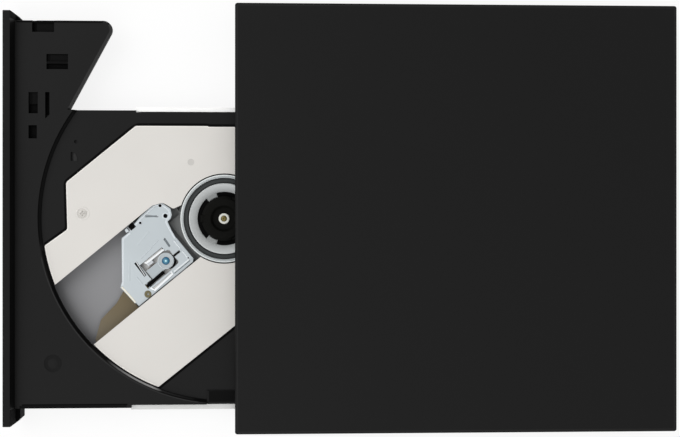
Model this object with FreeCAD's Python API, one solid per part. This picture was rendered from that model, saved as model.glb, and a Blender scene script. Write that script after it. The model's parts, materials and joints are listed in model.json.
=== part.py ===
import FreeCAD, Part
import math
import os

# External disc drive with its tray partly out, every separate piece as its own solid.
# While drawing, x runs from the front edge of the case to its rear, y across and z up from the table.
# At the end each solid is shifted along x, so that the origin lies under the middle of the whole object.

Vector = FreeCAD.Vector
UP = Vector(0, 0, 1)

# Driving sizes in millimetres
CASE_LENGTH = 145.0
CASE_WIDTH = 140.0
HEIGHT = 17.0
FOOT_HEIGHT = 1.0
TRAY_OUT = 75.0
SIDE_WALL = 2.2
ROOF = 1.6
FLOOR = 1.4
SPLIT_Z = 8.0
DISC_RADIUS = 60.0
SPINDLE_X = -3.8
SLED_ANGLE = 219.4

# Case
HALF_WIDTH = CASE_WIDTH / 2
INNER_HALF = HALF_WIDTH - SIDE_WALL
FLOOR_Z = FOOT_HEIGHT + FLOOR
ROOF_Z = HEIGHT - ROOF
REAR_X = CASE_LENGTH - SIDE_WALL
CASE_CORNER = 0.8
EDGE_ROUND = 0.6
FOOT_RADIUS = 4.9
FOOT_POCKET = 0.5
FOOT_X = (14.0, CASE_LENGTH - 14.0)
FOOT_Y = 56.0
LABEL_HALF = (36.0, 22.0)
LABEL_DEPTH = 0.3
SPLIT_BEVEL = 0.25
SCREW_HEAD_TOP = 2.1
CASE_BOSSES = [(10.0, 67.4, 1.5), (10.0, -67.4, 1.5), (137.8, 64.0, 2.3), (137.8, -64.0, 2.3)]
CASE_SCREW_SHANK = 0.7
CASE_SCREW_TOP = 12.5

# Drive housing
SHEET = 0.4
HOUSING_FRONT = 5.2
HOUSING_REAR = 132.4
HOUSING_HALF = 65.8
PAN_TOP = FLOOR_Z + SHEET
LID_Z = 14.7
LID_SCREW_X = (40.0, 100.0)
LID_SCREW_Z = 12.8
LID_SCREW_SHANK = 0.6
BOARD_Z = 3.6
BOARD_THICK = 0.8
BOARD_TOP = BOARD_Z + BOARD_THICK
PLUG_Y = (40.0, 60.0)
LOCK_PIN = (12.5, 55.0)
USB_Y = 22.0
USB_HALF_WIDTH = 4.47
USB_HALF_HEIGHT = 1.63
USB_SHELL = 0.3
USB_Z = BOARD_TOP + USB_HALF_HEIGHT

# Tray levels and edges
BEZEL_FRONT = -TRAY_OUT
BEZEL_BACK = -70.6
BEZEL_TOP_BACK = -72.56
DECK_FRONT = -71.9
WING_CORNER = 3.0
BEZEL_HALF = 67.3
BEZEL_BOTTOM = 2.6
BEZEL_TOP = 15.3
BEZEL_ROUND = 0.7
BEZEL_CUT = [(-72.4, 67.3), (-70.0, 68.3), (-70.0, 65.0), (-70.6, 65.6)]
TRAY_REAR = 50.0
TRAY_LEFT = 35.05
TRAY_RIGHT = -61.1
DECK_TOP = 11.0
FLOOR_TOP = 9.0
TRAY_FLOOR_Z = 8.0
DECK_LEFT = 64.87
DECK_RIGHT = -62.05
WING_TIP_X = -38.4
WING_ROOT = (-54.12, 35.65)
WING_BEVEL = 0.7
LEFT_STEP_X = -32.8
RIGHT_STEP_X = -34.2
LOW_RIM_X = -9.6
LOW_RIM_TOP = FLOOR_TOP + 0.6
FRONT_INSIDE = -69.4
TRAY_BOARD_TOP = 4.2
SHIELD_Z = 3.1
SHIELD_THICK = 0.3
TRAY_BOTTOM = SHIELD_Z + SHIELD_THICK
RIM_BOTTOM_RADIUS = DISC_RADIUS - 0.1
RIM_TOP_RADIUS = DISC_RADIUS + 0.8
PLATE_THICK = 0.3
PLATE_TOP = FLOOR_TOP + PLATE_THICK
TURNTABLE_HOLE = 14.9

# Rails
RAIL_LENGTH = 112.0
RAIL_Z = (4.0, 8.0)
LEFT_RAIL = (-33.1, 35.3, 36.75)
RIGHT_RAIL = (-34.6, -61.4, -63.05)
FLANGE = 0.6
GUIDE_FRONT = 5.6
GUIDE_REAR = 53.0
GUIDE_TOP = 8.6

# Sled that carries the optical pickup, measured outwards from the spindle and across the slot
CHASSIS_Z = 3.95
CHASSIS_TOP = 4.75
ROD_Z = 6.3
MAIN_ROD_V = 21.5
MAIN_ROD_RADIUS = 1.2
SIDE_ROD_V = -9.0
SIDE_ROD_RADIUS = 1.0
SCREW_V = 26.0
SCREW_Z = 5.75
SCREW_RADIUS = 0.9
SCREW_LEAD = 3.0
HOLDER_TOP = 7.8
BEARING_Z = (4.95, 7.7)
SLOT_HIGH = 18.4
SLOT_LOW = -4.8
LENS_U = 23.82
LENS_V = 1.5
COVER_Z = 8.2
COVER_THICK = 0.25
COVER_TOP = COVER_Z + COVER_THICK
YOKE_Z = 5.0
YOKE_FLOOR = 5.4
YOKE_TOP = 8.55
LENS_RADIUS = 1.3
LENS_RIM_Z = 8.3
RUNNING_GAP = 0.03

# Turntable
TABLE_RADIUS = 14.45
TABLE_TOP = 9.6
TABLE_WEB_Z = (8.5, 9.0)
MAGNET_RADIUS = 13.7
DISC_SEAT = 10.0
HUB_RADIUS = 7.35
HUB_WALL = 1.3
HUB_TOP = 12.9
HUB_DISH_Z = 11.4
BUSH_RADIUS = 1.75
BUSH_Z = 11.0
SHAFT_RADIUS = 1.0
CLAW_ANGLES = (60.0, 180.0, 300.0)
TAB_ANGLES = (0.0, 120.0, 240.0)
DAMPERS = [(-11.0, 24.5), (-14.0, -12.0), (48.0, -15.5)]

# Parts at the front of the tray
BUTTON_Y = -45.0
BUTTON_Z = 7.5
BUTTON_SIZE = (8.0, 3.0)
BUTTON_GAP = 0.2
LIGHT_HALF = (1.4, 0.4)
LIGHT_Y = -34.0
RELEASE_Y = 51.0
RELEASE_Z = 6.2
LEVER_PIVOT = (-66.0, 47.0)
LEVER_TURN = 18.0
LEVER_Z = (5.3, 6.5)
POST_RADIUS = 1.0
PLUNGER_Y = LEVER_PIVOT[1] + 2.2
PLUNGER_Z = 6.3
EJECTOR_Y = -40.0
EJECTOR_Z = 5.8

FRONT_SHIFT = (TRAY_OUT - CASE_LENGTH) / 2


def box(x0, x1, y0, y1, z0, z1):
    """Block between two opposite corners."""
    low = Vector(min(x0, x1), min(y0, y1), min(z0, z1))
    return Part.makeBox(abs(x1 - x0), abs(y1 - y0), abs(z1 - z0), low)


def disc(radius, z0, z1, x=0.0, y=0.0):
    """Upright cylinder."""
    return Part.makeCylinder(radius, z1 - z0, Vector(x, y, z0))


def ring(outer, inner, z0, z1, x=0.0, y=0.0):
    """Upright tube."""
    return disc(outer, z0, z1, x, y).cut(disc(inner, z0, z1, x, y))


def rod(radius, start, end):
    """Round rod from one point to another."""
    start = Vector(*start)
    run = Vector(*end) - start
    return Part.makeCylinder(radius, run.Length, start, run)


def outline(points):
    """Closed wire through corners (x, y) or (x, y, r), where r rounds that corner."""
    corners = [Vector(p[0], p[1], 0) for p in points]
    radii = [p[2] if len(p) > 2 else 0.0 for p in points]
    ends = []
    for i, corner in enumerate(corners):
        before = (corners[i - 1] - corner).normalize()
        after = (corners[(i + 1) % len(corners)] - corner).normalize()
        if not radii[i]:
            ends.append((corner, None, corner))
            continue
        half = before.getAngle(after) / 2
        reach = radii[i] / math.tan(half)
        middle = (before + after).normalize()
        centre = corner + middle * (radii[i] / math.sin(half))
        ends.append((corner + before * reach, centre - middle * radii[i], corner + after * reach))
    edges = []
    for i, (first, mid, last) in enumerate(ends):
        if mid is not None:
            edges.append(Part.Arc(first, mid, last).toShape())
        start = ends[(i + 1) % len(ends)][0]
        if (start - last).Length > 1e-6:
            edges.append(Part.LineSegment(last, start).toShape())
    return Part.Wire(edges)


def slab(points, z0, z1):
    """Flat plate with the given outline, from z0 up to z1."""
    face = Part.Face(outline(points))
    face.translate(Vector(0, 0, z0))
    return face.extrude(Vector(0, 0, z1 - z0))


def turned(profile, x=0.0, y=0.0):
    """Solid of revolution about the upright line through (x, y), from (radius, z) corners."""
    wire = Part.makePolygon([Vector(r, 0, z) for r, z in profile + profile[:1]])
    solid = Part.Face(wire).revolve(Vector(0, 0, 0), UP, 360)
    solid.translate(Vector(x, y, 0))
    return solid


def joined(*shapes):
    """One solid from touching or overlapping ones."""
    return shapes[0].fuse(list(shapes[1:])).removeSplitter()


def group(*shapes):
    """Separate solids kept together as one piece."""
    return Part.makeCompound(list(shapes))


def moved(shape, x=0.0, y=0.0, z=0.0):
    shape = shape.copy()
    shape.translate(Vector(x, y, z))
    return shape


def at_spindle(shape):
    """Carries a shape drawn about the spindle to the spindle."""
    return moved(shape, SPINDLE_X)


def on_sled(shape):
    """Carries a shape drawn with x outwards along the sled and y as minus v to its place."""
    shape = shape.copy()
    shape.rotate(Vector(0, 0, 0), UP, SLED_ANGLE)
    return at_spindle(shape)


def sled_box(u0, u1, v0, v1, z0, z1):
    return box(u0, u1, -v0, -v1, z0, z1)


def sled_slab(points, z0, z1):
    flipped = [(p[0], -p[1]) + tuple(p[2:]) for p in points]
    return slab(flipped, z0, z1)


def edges_where(shape, test):
    """Edges whose two end points both pass a test."""
    return [e for e in shape.Edges if all(test(v.Point) for v in e.Vertexes)]


def near(a, b):
    return abs(a - b) < 0.01


def case_block(z0, z1):
    corners = [(0, -HALF_WIDTH), (CASE_LENGTH, -HALF_WIDTH), (CASE_LENGTH, HALF_WIDTH), (0, HALF_WIDTH)]
    return slab([(x, y, CASE_CORNER) for x, y in corners], z0, z1)


def top_cover():
    """Plain lid of the case: roof, side walls and rear wall, open at the front."""
    block = case_block(SPLIT_Z, HEIGHT)
    block = block.makeFillet(EDGE_ROUND, edges_where(block, lambda p: near(p.z, HEIGHT)))
    block = block.makeChamfer(SPLIT_BEVEL, edges_where(block, lambda p: near(p.z, SPLIT_Z)))
    block = block.cut(box(-1, REAR_X, -INNER_HALF, INNER_HALF, SPLIT_Z - 1, ROOF_Z))
    bosses = [disc(r, SPLIT_Z, ROOF_Z + 0.5, x, y) for x, y, r in CASE_BOSSES]
    holes = [disc(CASE_SCREW_SHANK, SPLIT_Z - 1, CASE_SCREW_TOP + 0.5, x, y) for x, y, _ in CASE_BOSSES]
    return joined(block, *bosses).cut(holes)


def bottom_cover():
    """Tub of the case, with foot pockets, a bare label recess, screw bosses, posts and the socket's opening."""
    block = case_block(FOOT_HEIGHT, SPLIT_Z)
    block = block.makeFillet(EDGE_ROUND, edges_where(block, lambda p: near(p.z, FOOT_HEIGHT)))
    block = block.makeChamfer(SPLIT_BEVEL, edges_where(block, lambda p: near(p.z, SPLIT_Z)))
    block = block.cut(box(-1, REAR_X, -INNER_HALF, INNER_HALF, FLOOR_Z, SPLIT_Z + 1))
    bosses = [disc(r, FLOOR_Z - 0.5, SPLIT_Z, x, y) for x, y, r in CASE_BOSSES]
    posts = [disc(1.6, FLOOR_Z - 0.5, BOARD_Z, x, y) for x, y in bridge_posts()]
    block = joined(block, *bosses, *posts)
    cuts = [disc(CASE_SCREW_SHANK + 0.2, 0, SPLIT_Z + 1, x, y) for x, y, _ in CASE_BOSSES]
    cuts += [disc(1.6, 0, SCREW_HEAD_TOP, x, y) for x, y, _ in CASE_BOSSES]
    cuts += [disc(FOOT_RADIUS + 0.1, 0, FOOT_HEIGHT + FOOT_POCKET, x, y) for x, y in foot_places()]
    cuts += [disc(0.6, FLOOR_Z, BOARD_Z + 1, x, y) for x, y in bridge_posts()]
    cuts.append(label_recess())
    port_y = USB_HALF_WIDTH + 0.25
    port_z = USB_HALF_HEIGHT + 0.25
    cuts.append(box(REAR_X - 1, CASE_LENGTH + 1, USB_Y - port_y, USB_Y + port_y, USB_Z - port_z, USB_Z + port_z))
    return block.cut(cuts)


def label_recess():
    """Shallow rounded rectangle under the middle of the case."""
    half_x, half_y = LABEL_HALF
    corners = [(-half_x, -half_y, 3), (half_x, -half_y, 3), (half_x, half_y, 3), (-half_x, half_y, 3)]
    return moved(slab(corners, 0, FOOT_HEIGHT + LABEL_DEPTH), CASE_LENGTH / 2)


def foot_places():
    return [(x, y) for x in FOOT_X for y in (FOOT_Y, -FOOT_Y)]


def bridge_posts():
    return [(138.0, 12.0), (138.0, 34.0)]


def rubber_feet():
    """Four round pads set in shallow pockets under the case."""
    profile = [(0, 0), (FOOT_RADIUS - 0.6, 0), (FOOT_RADIUS, 0.5), (FOOT_RADIUS, 1.5), (0, 1.5)]
    return group(*[turned(profile, x, y) for x, y in foot_places()])


def screw(x, y, head_radius, head_z, shank_radius, z0, z1):
    """Upright screw whose cross-slotted head lies below its shank."""
    head = disc(head_radius, head_z, z0, x, y)
    reach = head_radius * 0.6
    slot = 0.18
    cross = [box(x - reach, x + reach, y - slot, y + slot, head_z, head_z + 0.3)]
    cross.append(box(x - slot, x + slot, y - reach, y + reach, head_z, head_z + 0.3))
    return joined(head.cut(cross), disc(shank_radius, z0, z1, x, y))


def case_screws():
    screws = []
    for x, y, _ in CASE_BOSSES:
        screws.append(screw(x, y, 1.45, 1.3, CASE_SCREW_SHANK, SCREW_HEAD_TOP, CASE_SCREW_TOP))
    return group(*screws)


def lid_screw_holes(half, depth):
    """Sideways cylinders at the four screws that hold the drive's lid, on both sides."""
    holes = []
    for x in LID_SCREW_X:
        for side in (1, -1):
            start = (x, side * (half - depth), LID_SCREW_Z)
            holes.append(rod(LID_SCREW_SHANK, start, (x, side * (half + depth), LID_SCREW_Z)))
    return holes


def drive_base_pan():
    """Sheet steel tray of the drive, with side and rear walls, board posts and the fixed lock pin."""
    wall = HOUSING_HALF - SHEET
    parts = [box(HOUSING_FRONT, HOUSING_REAR, -HOUSING_HALF, HOUSING_HALF, FLOOR_Z, PAN_TOP)]
    for side in (1, -1):
        parts.append(box(HOUSING_FRONT, HOUSING_REAR, side * wall, side * HOUSING_HALF, FLOOR_Z, LID_Z))
    parts.append(box(HOUSING_REAR - SHEET, HOUSING_REAR, -HOUSING_HALF, HOUSING_HALF, FLOOR_Z, LID_Z))
    parts += [disc(1.4, PAN_TOP - 0.1, BOARD_Z, x, y) for x in (44.0, 118.0) for y in (43.5, 61.0)]
    parts.append(disc(1.0, PAN_TOP - 0.1, 7.6, *LOCK_PIN))
    pan = joined(*parts)
    window = box(HOUSING_REAR - 1, HOUSING_REAR + 1, PLUG_Y[0] - 1, PLUG_Y[1] + 1, PAN_TOP, GUIDE_TOP)
    return pan.cut([window] + lid_screw_holes(HOUSING_HALF, 1.0))


def drive_lid():
    """Flat sheet over the drive, folded down outside its side walls."""
    fold = HOUSING_HALF + SHEET
    parts = [box(HOUSING_FRONT, HOUSING_REAR, -HOUSING_HALF, HOUSING_HALF, LID_Z, LID_Z + SHEET)]
    for side in (1, -1):
        parts.append(box(24, 118, side * HOUSING_HALF, side * fold, 11.0, LID_Z + SHEET))
    return joined(*parts).cut(lid_screw_holes(HOUSING_HALF, 1.0))


def drive_lid_screws():
    screws = []
    out = HOUSING_HALF + SHEET
    for x in LID_SCREW_X:
        for side in (1, -1):
            shank = rod(LID_SCREW_SHANK, (x, side * (out - 1.2), LID_SCREW_Z), (x, side * out, LID_SCREW_Z))
            head = rod(1.3, (x, side * out, LID_SCREW_Z), (x, side * (out + 0.5), LID_SCREW_Z))
            screws.append(joined(shank, head))
    return group(*screws)


def rail_guide_left():
    """Channel on the pan in which the left rail's rib slides."""
    channel = box(GUIDE_FRONT, GUIDE_REAR, 37.05, 39.3, PAN_TOP, GUIDE_TOP)
    return channel.cut(box(0, GUIDE_REAR + 1, 37.0, 37.95, 5.0, 7.0))


def rail_guide_right():
    """Channel on the pan that holds the right rail from above, below and outside."""
    wall = -(HOUSING_HALF - SHEET)
    channel = box(GUIDE_FRONT, GUIDE_REAR, wall, -62.0, PAN_TOP, GUIDE_TOP)
    return channel.cut(box(0, GUIDE_REAR + 1, -63.3, -61.9, RAIL_Z[0] - 0.2, RAIL_Z[1] + 0.2))


def rail(front, inner, outer):
    """Folded steel strip: an outer web with an upper and a lower flange towards the tray."""
    web = outer - math.copysign(0.55, outer - inner)
    rear = front + RAIL_LENGTH
    parts = [box(front, rear, web, outer, *RAIL_Z)]
    parts.append(box(front, rear, inner, outer, RAIL_Z[0], RAIL_Z[0] + FLANGE))
    parts.append(box(front, rear, inner, outer, RAIL_Z[1] - FLANGE, RAIL_Z[1]))
    return parts


def rail_left():
    front, inner, outer = LEFT_RAIL
    rib = box(6.0, front + RAIL_LENGTH, outer - 0.1, outer + 0.95, 5.3, 6.7)
    return joined(*rail(front, inner, outer), rib)


def rail_right():
    return joined(*rail(*RIGHT_RAIL))


def main_board():
    """Fixed board beside the tray's path, its chips, its ribbon socket and its data plug."""
    board = slab([(40, 41), (129, 41), (129, 63), (52, 63), (40, 58)], BOARD_Z, BOARD_TOP)
    chips = [
        box(64, 78, 46, 60, BOARD_TOP, BOARD_TOP + 1.2),
        box(84, 90, 50, 58, BOARD_TOP, BOARD_TOP + 1.0),
        box(96, 104, 46, 54, BOARD_TOP, BOARD_TOP + 1.1),
        box(108, 112, 56, 60, BOARD_TOP, BOARD_TOP + 1.4),
        box(55, 65, 41.3, 44.3, BOARD_TOP, BOARD_TOP + 1.5),
    ]
    body = box(123, 133.0, PLUG_Y[0], PLUG_Y[1], BOARD_TOP, 8.2)
    tongue = box(133.0, 136.0, PLUG_Y[0] + 2, PLUG_Y[1] - 2, 6.0, 6.8)
    return group(board, *chips, joined(body, tongue))


def bridge_board():
    """Small board at the rear with the bridge chip, a crystal and its two screws."""
    board = box(133.4, 142.6, 8, 61.2, BOARD_Z, BOARD_TOP)
    board = board.cut([disc(0.6, BOARD_Z, BOARD_TOP, x, y) for x, y in bridge_posts()])
    chips = [box(134.6, 140.6, 26.5, 32.0, BOARD_TOP, BOARD_TOP + 1.0)]
    chips.append(box(139.6, 142.0, 41, 45, BOARD_TOP, BOARD_TOP + 1.2))
    screws = [joined(disc(1.2, BOARD_TOP, BOARD_TOP + 0.6, x, y), disc(0.6, 2.8, BOARD_TOP, x, y))
              for x, y in bridge_posts()]
    return group(board, *chips, *screws)


def bridge_data_socket():
    """Slotted socket that the drive's data plug enters."""
    socket = box(133.4, 138.2, PLUG_Y[0] - 0.5, PLUG_Y[1] + 0.5, BOARD_TOP, 8.4)
    return socket.cut(box(133.0, 136.6, PLUG_Y[0] + 1.6, PLUG_Y[1] - 1.6, 5.7, 7.1))


def usb_section(x0, x1, shrink):
    """Bar with fully rounded ends, along x, at the USB socket's place."""
    half_z = USB_HALF_HEIGHT - shrink
    half_y = USB_HALF_WIDTH - shrink
    flat = half_y - half_z
    ends = [rod(half_z, (x0, USB_Y + s * flat, USB_Z), (x1, USB_Y + s * flat, USB_Z)) for s in (1, -1)]
    middle = box(x0, x1, USB_Y - flat, USB_Y + flat, USB_Z - half_z, USB_Z + half_z)
    return joined(middle, *ends)


def usb_socket_shell():
    shell = usb_section(137.4, CASE_LENGTH - 0.2, 0)
    return shell.cut(usb_section(136, CASE_LENGTH + 1, USB_SHELL))


def usb_socket_tongue():
    block = usb_section(137.4, 139.4, USB_SHELL)
    tongue = box(139.4, CASE_LENGTH - 1.0, USB_Y - 3.35, USB_Y + 3.35, USB_Z - 0.35, USB_Z + 0.35)
    return joined(block, tongue)


def ribbon_cable():
    """Flat cable: folded run on the pan, half turn behind the tray, upper run to the tray's board."""
    y0, y1 = 16.0, 26.0
    thick = 0.15
    low, high = PAN_TOP + 0.03, 4.27
    bend_x = 91.5
    lower = box(55, bend_x, y0, y1, low, low + thick)
    fold = box(55, 65, y0, 40.8, low, low + thick)
    upper = box(26.2, bend_x, y0, y1, high, high + thick)
    centre = (low + high + thick) / 2
    outer = (high + thick - low) / 2
    bend = rod(outer, (bend_x, y0, centre), (bend_x, y1, centre))
    bend = bend.cut(rod(outer - thick, (bend_x, y0, centre), (bend_x, y1, centre)))
    bend = bend.cut(box(bend_x - 5, bend_x, y0, y1, 0, 9))
    return joined(lower, fold, upper, bend)


def rim_cut():
    """Round disc recess with a slightly sloped rim."""
    depth = DECK_TOP - FLOOR_TOP
    return at_spindle(Part.makeCone(RIM_BOTTOM_RADIUS, RIM_TOP_RADIUS, depth, Vector(0, 0, FLOOR_TOP)))


def wing_pockets():
    """Small moulded pockets in the wing and the recess floor, cut from above."""
    top = DECK_TOP + 1
    pockets = [
        box(-66.35, -59.2, 61.0, 66, DECK_TOP - 0.9, top),
        box(-66.35, -65.0, 61.0, 66, DECK_TOP - 1.4, top),
        box(-61.7, -54.7, 51.3, 53.8, DECK_TOP - 0.7, top),
        box(-61.7, -54.7, 48.85, 50.7, DECK_TOP - 1.4, top),
        box(-67.5, -64.5, 37.4, 41.3, DECK_TOP - 0.6, top),
        box(-67.5, -64.5, 34.4, 37.4, DECK_TOP - 1.6, top),
        slab([(-62.1, 32.7), (-60.7, 34.0), (-60.7, 41.35), (-62.1, 41.35)], DECK_TOP - 1.7, top),
        box(-67.5, -64.8, 26.2, 30.5, DECK_TOP - 1.6, top),
        disc(2.9, DECK_TOP - 0.3, top, -59.6, -47.35),
        disc(0.6, FLOOR_TOP - 0.7, FLOOR_TOP + 1, -52.5, 25.3),
        box(-54.2, -53.4, 19.0, 21.9, FLOOR_TOP - 0.7, FLOOR_TOP + 1),
    ]
    return pockets


def tray_deck():
    """Raised deck and wing around the disc recess."""
    root_x, root_y = WING_ROOT
    edge = [
        (DECK_FRONT, DECK_LEFT), (WING_TIP_X, DECK_LEFT, WING_CORNER), WING_ROOT, (LEFT_STEP_X, root_y),
        (LEFT_STEP_X, TRAY_LEFT), (TRAY_REAR, TRAY_LEFT), (TRAY_REAR, TRAY_RIGHT), (RIGHT_STEP_X, TRAY_RIGHT),
        (RIGHT_STEP_X, DECK_RIGHT), (DECK_FRONT, DECK_RIGHT),
    ]
    deck = slab(edge, FLOOR_TOP, DECK_TOP)

    def on_slant(p):
        reach = (p.x - root_x) * (DECK_LEFT - root_y) - (p.y - root_y) * (WING_TIP_X - root_x)
        return near(p.z, DECK_TOP) and abs(reach) < 0.3

    deck = deck.makeChamfer(WING_BEVEL, edges_where(deck, on_slant))
    low_rim = box(LOW_RIM_X, 30, -63, -50, LOW_RIM_TOP, DECK_TOP + 1)
    return deck.cut([rim_cut(), low_rim])


def tray_floor():
    """Recess floor, with the opening along which the pickup travels and the turntable's hole."""
    floor = joined(
        box(BEZEL_BACK, TRAY_REAR, TRAY_RIGHT, TRAY_LEFT, TRAY_FLOOR_Z, FLOOR_TOP),
        box(WING_ROOT[0], LEFT_STEP_X, TRAY_LEFT, WING_ROOT[1], FLOOR_TOP - 0.2, FLOOR_TOP),
        box(LOW_RIM_X, TRAY_REAR, TRAY_RIGHT, -56.75, FLOOR_TOP, LOW_RIM_TOP),
    )
    path = on_sled(sled_box(10, 76, SLOT_LOW - 0.7, SLOT_HIGH + 0.5, 7, FLOOR_TOP))
    path = path.common(box(-69.2, 60, -60, 40, 7, FLOOR_TOP))
    hole = at_spindle(disc(TABLE_RADIUS + 0.75, 7, FLOOR_TOP))
    return floor.cut([path, hole])


def tray_walls():
    """Side, rear and front walls under the deck, and the ribs that run in the rails."""
    inner = 1.0
    walls = [
        box(BEZEL_BACK, TRAY_REAR, TRAY_LEFT - inner, TRAY_LEFT, TRAY_BOTTOM, FLOOR_TOP),
        box(BEZEL_BACK, TRAY_REAR, TRAY_RIGHT, TRAY_RIGHT + inner, TRAY_BOTTOM, FLOOR_TOP),
        box(TRAY_REAR - inner, TRAY_REAR, TRAY_RIGHT, TRAY_LEFT, TRAY_BOTTOM, FLOOR_TOP),
        box(BEZEL_BACK, BEZEL_BACK + inner, TRAY_RIGHT, DECK_LEFT, TRAY_BOTTOM, FLOOR_TOP + 0.5),
        box(BEZEL_BACK, -46, DECK_LEFT - 0.8, DECK_LEFT, 7.4, FLOOR_TOP + 0.5),
        box(-30, TRAY_REAR, TRAY_LEFT - 0.1, TRAY_LEFT + 0.85, 5.1, 6.9),
        box(-30, TRAY_REAR, TRAY_RIGHT - 1.0, TRAY_RIGHT + 0.1, 5.1, 6.9),
        box(24, 25, -43, -37, TRAY_BOTTOM, FLOOR_TOP),
    ]
    return walls


def tray_bosses():
    """Posts under the tray: damper posts, the lock lever's pivot and the solenoid's seat."""
    posts = [on_sled(disc(2.2, 5.6, FLOOR_TOP - 0.5, u, -v)) for u, v in DAMPERS]
    posts.append(disc(POST_RADIUS, 4.6, FLOOR_TOP + 0.5, *LEVER_PIVOT))
    posts.append(disc(1.8, 6.9, FLOOR_TOP + 0.5, *LEVER_PIVOT))
    return posts


def tray_frame():
    """Moulded tray: deck, wing, recess floor, walls, ribs and posts in one piece."""
    frame = joined(tray_deck(), tray_floor(), *tray_walls(), *tray_bosses())
    cuts = wing_pockets()
    cuts += [on_sled(disc(0.7, 5, 7.6, u, -v)) for u, v in DAMPERS]
    cuts.append(box(BEZEL_BACK - 0.1, BEZEL_BACK + 1.0, -52, -26, 4.4, TRAY_FLOOR_Z))
    cuts.append(rod(0.8, (BEZEL_BACK - 1, RELEASE_Y, RELEASE_Z), (BEZEL_BACK + 2, RELEASE_Y, RELEASE_Z)))
    cuts.append(box(TRAY_REAR - 2, TRAY_REAR + 1, 14, 28, TRAY_BOTTOM - 0.1, 5.6))
    cuts.append(rod(1.25, (23, EJECTOR_Y, EJECTOR_Z), (TRAY_REAR + 1, EJECTOR_Y, EJECTOR_Z)))
    cuts += [disc(0.6, TRAY_FLOOR_Z + 0.2, FLOOR_TOP, x, y) for x, y in plate_screw_places()]
    return frame.cut(cuts)


def bezel():
    """Front of the tray with a ledge under the deck, and the button, light and release openings."""
    profile = [
        (BEZEL_FRONT, BEZEL_BOTTOM, BEZEL_ROUND), (BEZEL_FRONT, BEZEL_TOP, BEZEL_ROUND),
        (BEZEL_TOP_BACK, BEZEL_TOP), (DECK_FRONT, DECK_TOP), (DECK_FRONT, FLOOR_TOP), (BEZEL_BACK, FLOOR_TOP),
        (BEZEL_BACK, BEZEL_BOTTOM),
    ]
    face = Part.Face(outline(profile))
    face.rotate(Vector(0, 0, 0), Vector(1, 0, 0), 90)
    face.translate(Vector(0, BEZEL_HALF, 0))
    body = face.extrude(Vector(0, -2 * BEZEL_HALF, 0))
    cuts = []
    for side in (1, -1):
        cuts.append(slab([(x, side * y) for x, y in BEZEL_CUT], 0, 20))
    half_y = BUTTON_SIZE[0] / 2 + BUTTON_GAP
    half_z = BUTTON_SIZE[1] / 2 + BUTTON_GAP
    cuts.append(box(-76, -70, BUTTON_Y - half_y, BUTTON_Y + half_y, BUTTON_Z - half_z, BUTTON_Z + half_z))
    cuts.append(box(-73.2, -70, -52, -38, 4.6, 9.8))
    cuts.append(light_bar(-76, -70))
    cuts.append(rod(0.6, (-76, RELEASE_Y, RELEASE_Z), (-70, RELEASE_Y, RELEASE_Z)))
    return body.cut(cuts)


def light_bar(x0, x1):
    half_y, half_z = LIGHT_HALF
    return box(x0, x1, LIGHT_Y - half_y, LIGHT_Y + half_y, BUTTON_Z - half_z, BUTTON_Z + half_z)


def status_light():
    return light_bar(BEZEL_FRONT + 0.05, -68.0)


def eject_button():
    """Cap in the bezel's opening, a wider flange behind it and a stem to the switch."""
    half_y = BUTTON_SIZE[0] / 2
    half_z = BUTTON_SIZE[1] / 2
    cap = box(BEZEL_FRONT, -73.0, BUTTON_Y - half_y, BUTTON_Y + half_y, BUTTON_Z - half_z, BUTTON_Z + half_z)
    cap = cap.makeFillet(0.25, edges_where(cap, lambda p: near(p.x, BEZEL_FRONT)))
    flange = box(-73.1, -72.5, BUTTON_Y - 5, BUTTON_Y + 5, BUTTON_Z - 2.1, FLOOR_TOP - 0.15)
    stem = box(-72.5, FRONT_INSIDE, BUTTON_Y - 1, BUTTON_Y + 1, BUTTON_Z - 1.0, BUTTON_Z + 0.3)
    return joined(cap, flange, stem)


def plate_screw_places():
    return [(-50.3, 1.67), (36.0, 20.0), (36.0, -20.0)]


def deck_plate():
    """Painted sheet in the recess, cut by the turntable's hole and the pickup's diagonal slot."""
    edge = [
        (-55.67, 11.91, 1.2), (-55.25, -3.55, 1.0), (-62.44, -8.73), (-72, -30), (-55, -60), (-25.73, -55.64),
        (6.0, -30.3, 2.0), (40.0, -30.3, 3.0), (44.0, -24.0, 3.0), (44.0, 24.0, 3.0), (37.5, 30.28, 2.0),
        (-9.0, 30.28), (-9.3, 30.54), (-32.93, 30.54, 1.2),
    ]
    sheet = slab(edge, FLOOR_TOP, PLATE_TOP)
    sheet = sheet.common(at_spindle(disc(RIM_BOTTOM_RADIUS - 0.35, FLOOR_TOP, PLATE_TOP)))
    slot = [
        (-20, SLOT_LOW), (70, SLOT_LOW), (70, SLOT_HIGH), (15.6, SLOT_HIGH, 1.2), (12.3, 16.9, 2.0),
        (11.0, 13.2, 1.0), (8.0, 12.4), (-20, 12.4),
    ]
    open_slot = on_sled(sled_slab(slot, 0, 20).common(sled_box(6, 80, -20, 40, 0, 20)))
    cuts = [open_slot, at_spindle(disc(TURNTABLE_HOLE, 0, 20))]
    cuts += [disc(0.8, 0, 20, x, y) for x, y in plate_screw_places()]
    cuts += [Part.makeCone(1.5, 2.1, 0.15, Vector(x, y, PLATE_TOP - 0.15)) for x, y in plate_screw_places()]
    cuts.append(disc(1.1, PLATE_TOP - 0.1, 20, -14.84, 18.63))
    return sheet.cut(cuts)


def tray_screws():
    """Three screws in the deck plate and three from below through the dampers."""
    screws = []
    for x, y in plate_screw_places():
        head = Part.makeCone(1.3, 0.9, 0.3, Vector(x, y, PLATE_TOP - 0.15))
        screws.append(joined(head, disc(0.6, TRAY_FLOOR_Z + 0.2, PLATE_TOP - 0.15, x, y)))
    for u, v in DAMPERS:
        screws.append(on_sled(screw(u, -v, 1.7, 3.45, 0.7, CHASSIS_Z, 7.4)))
    return group(*screws)


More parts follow.
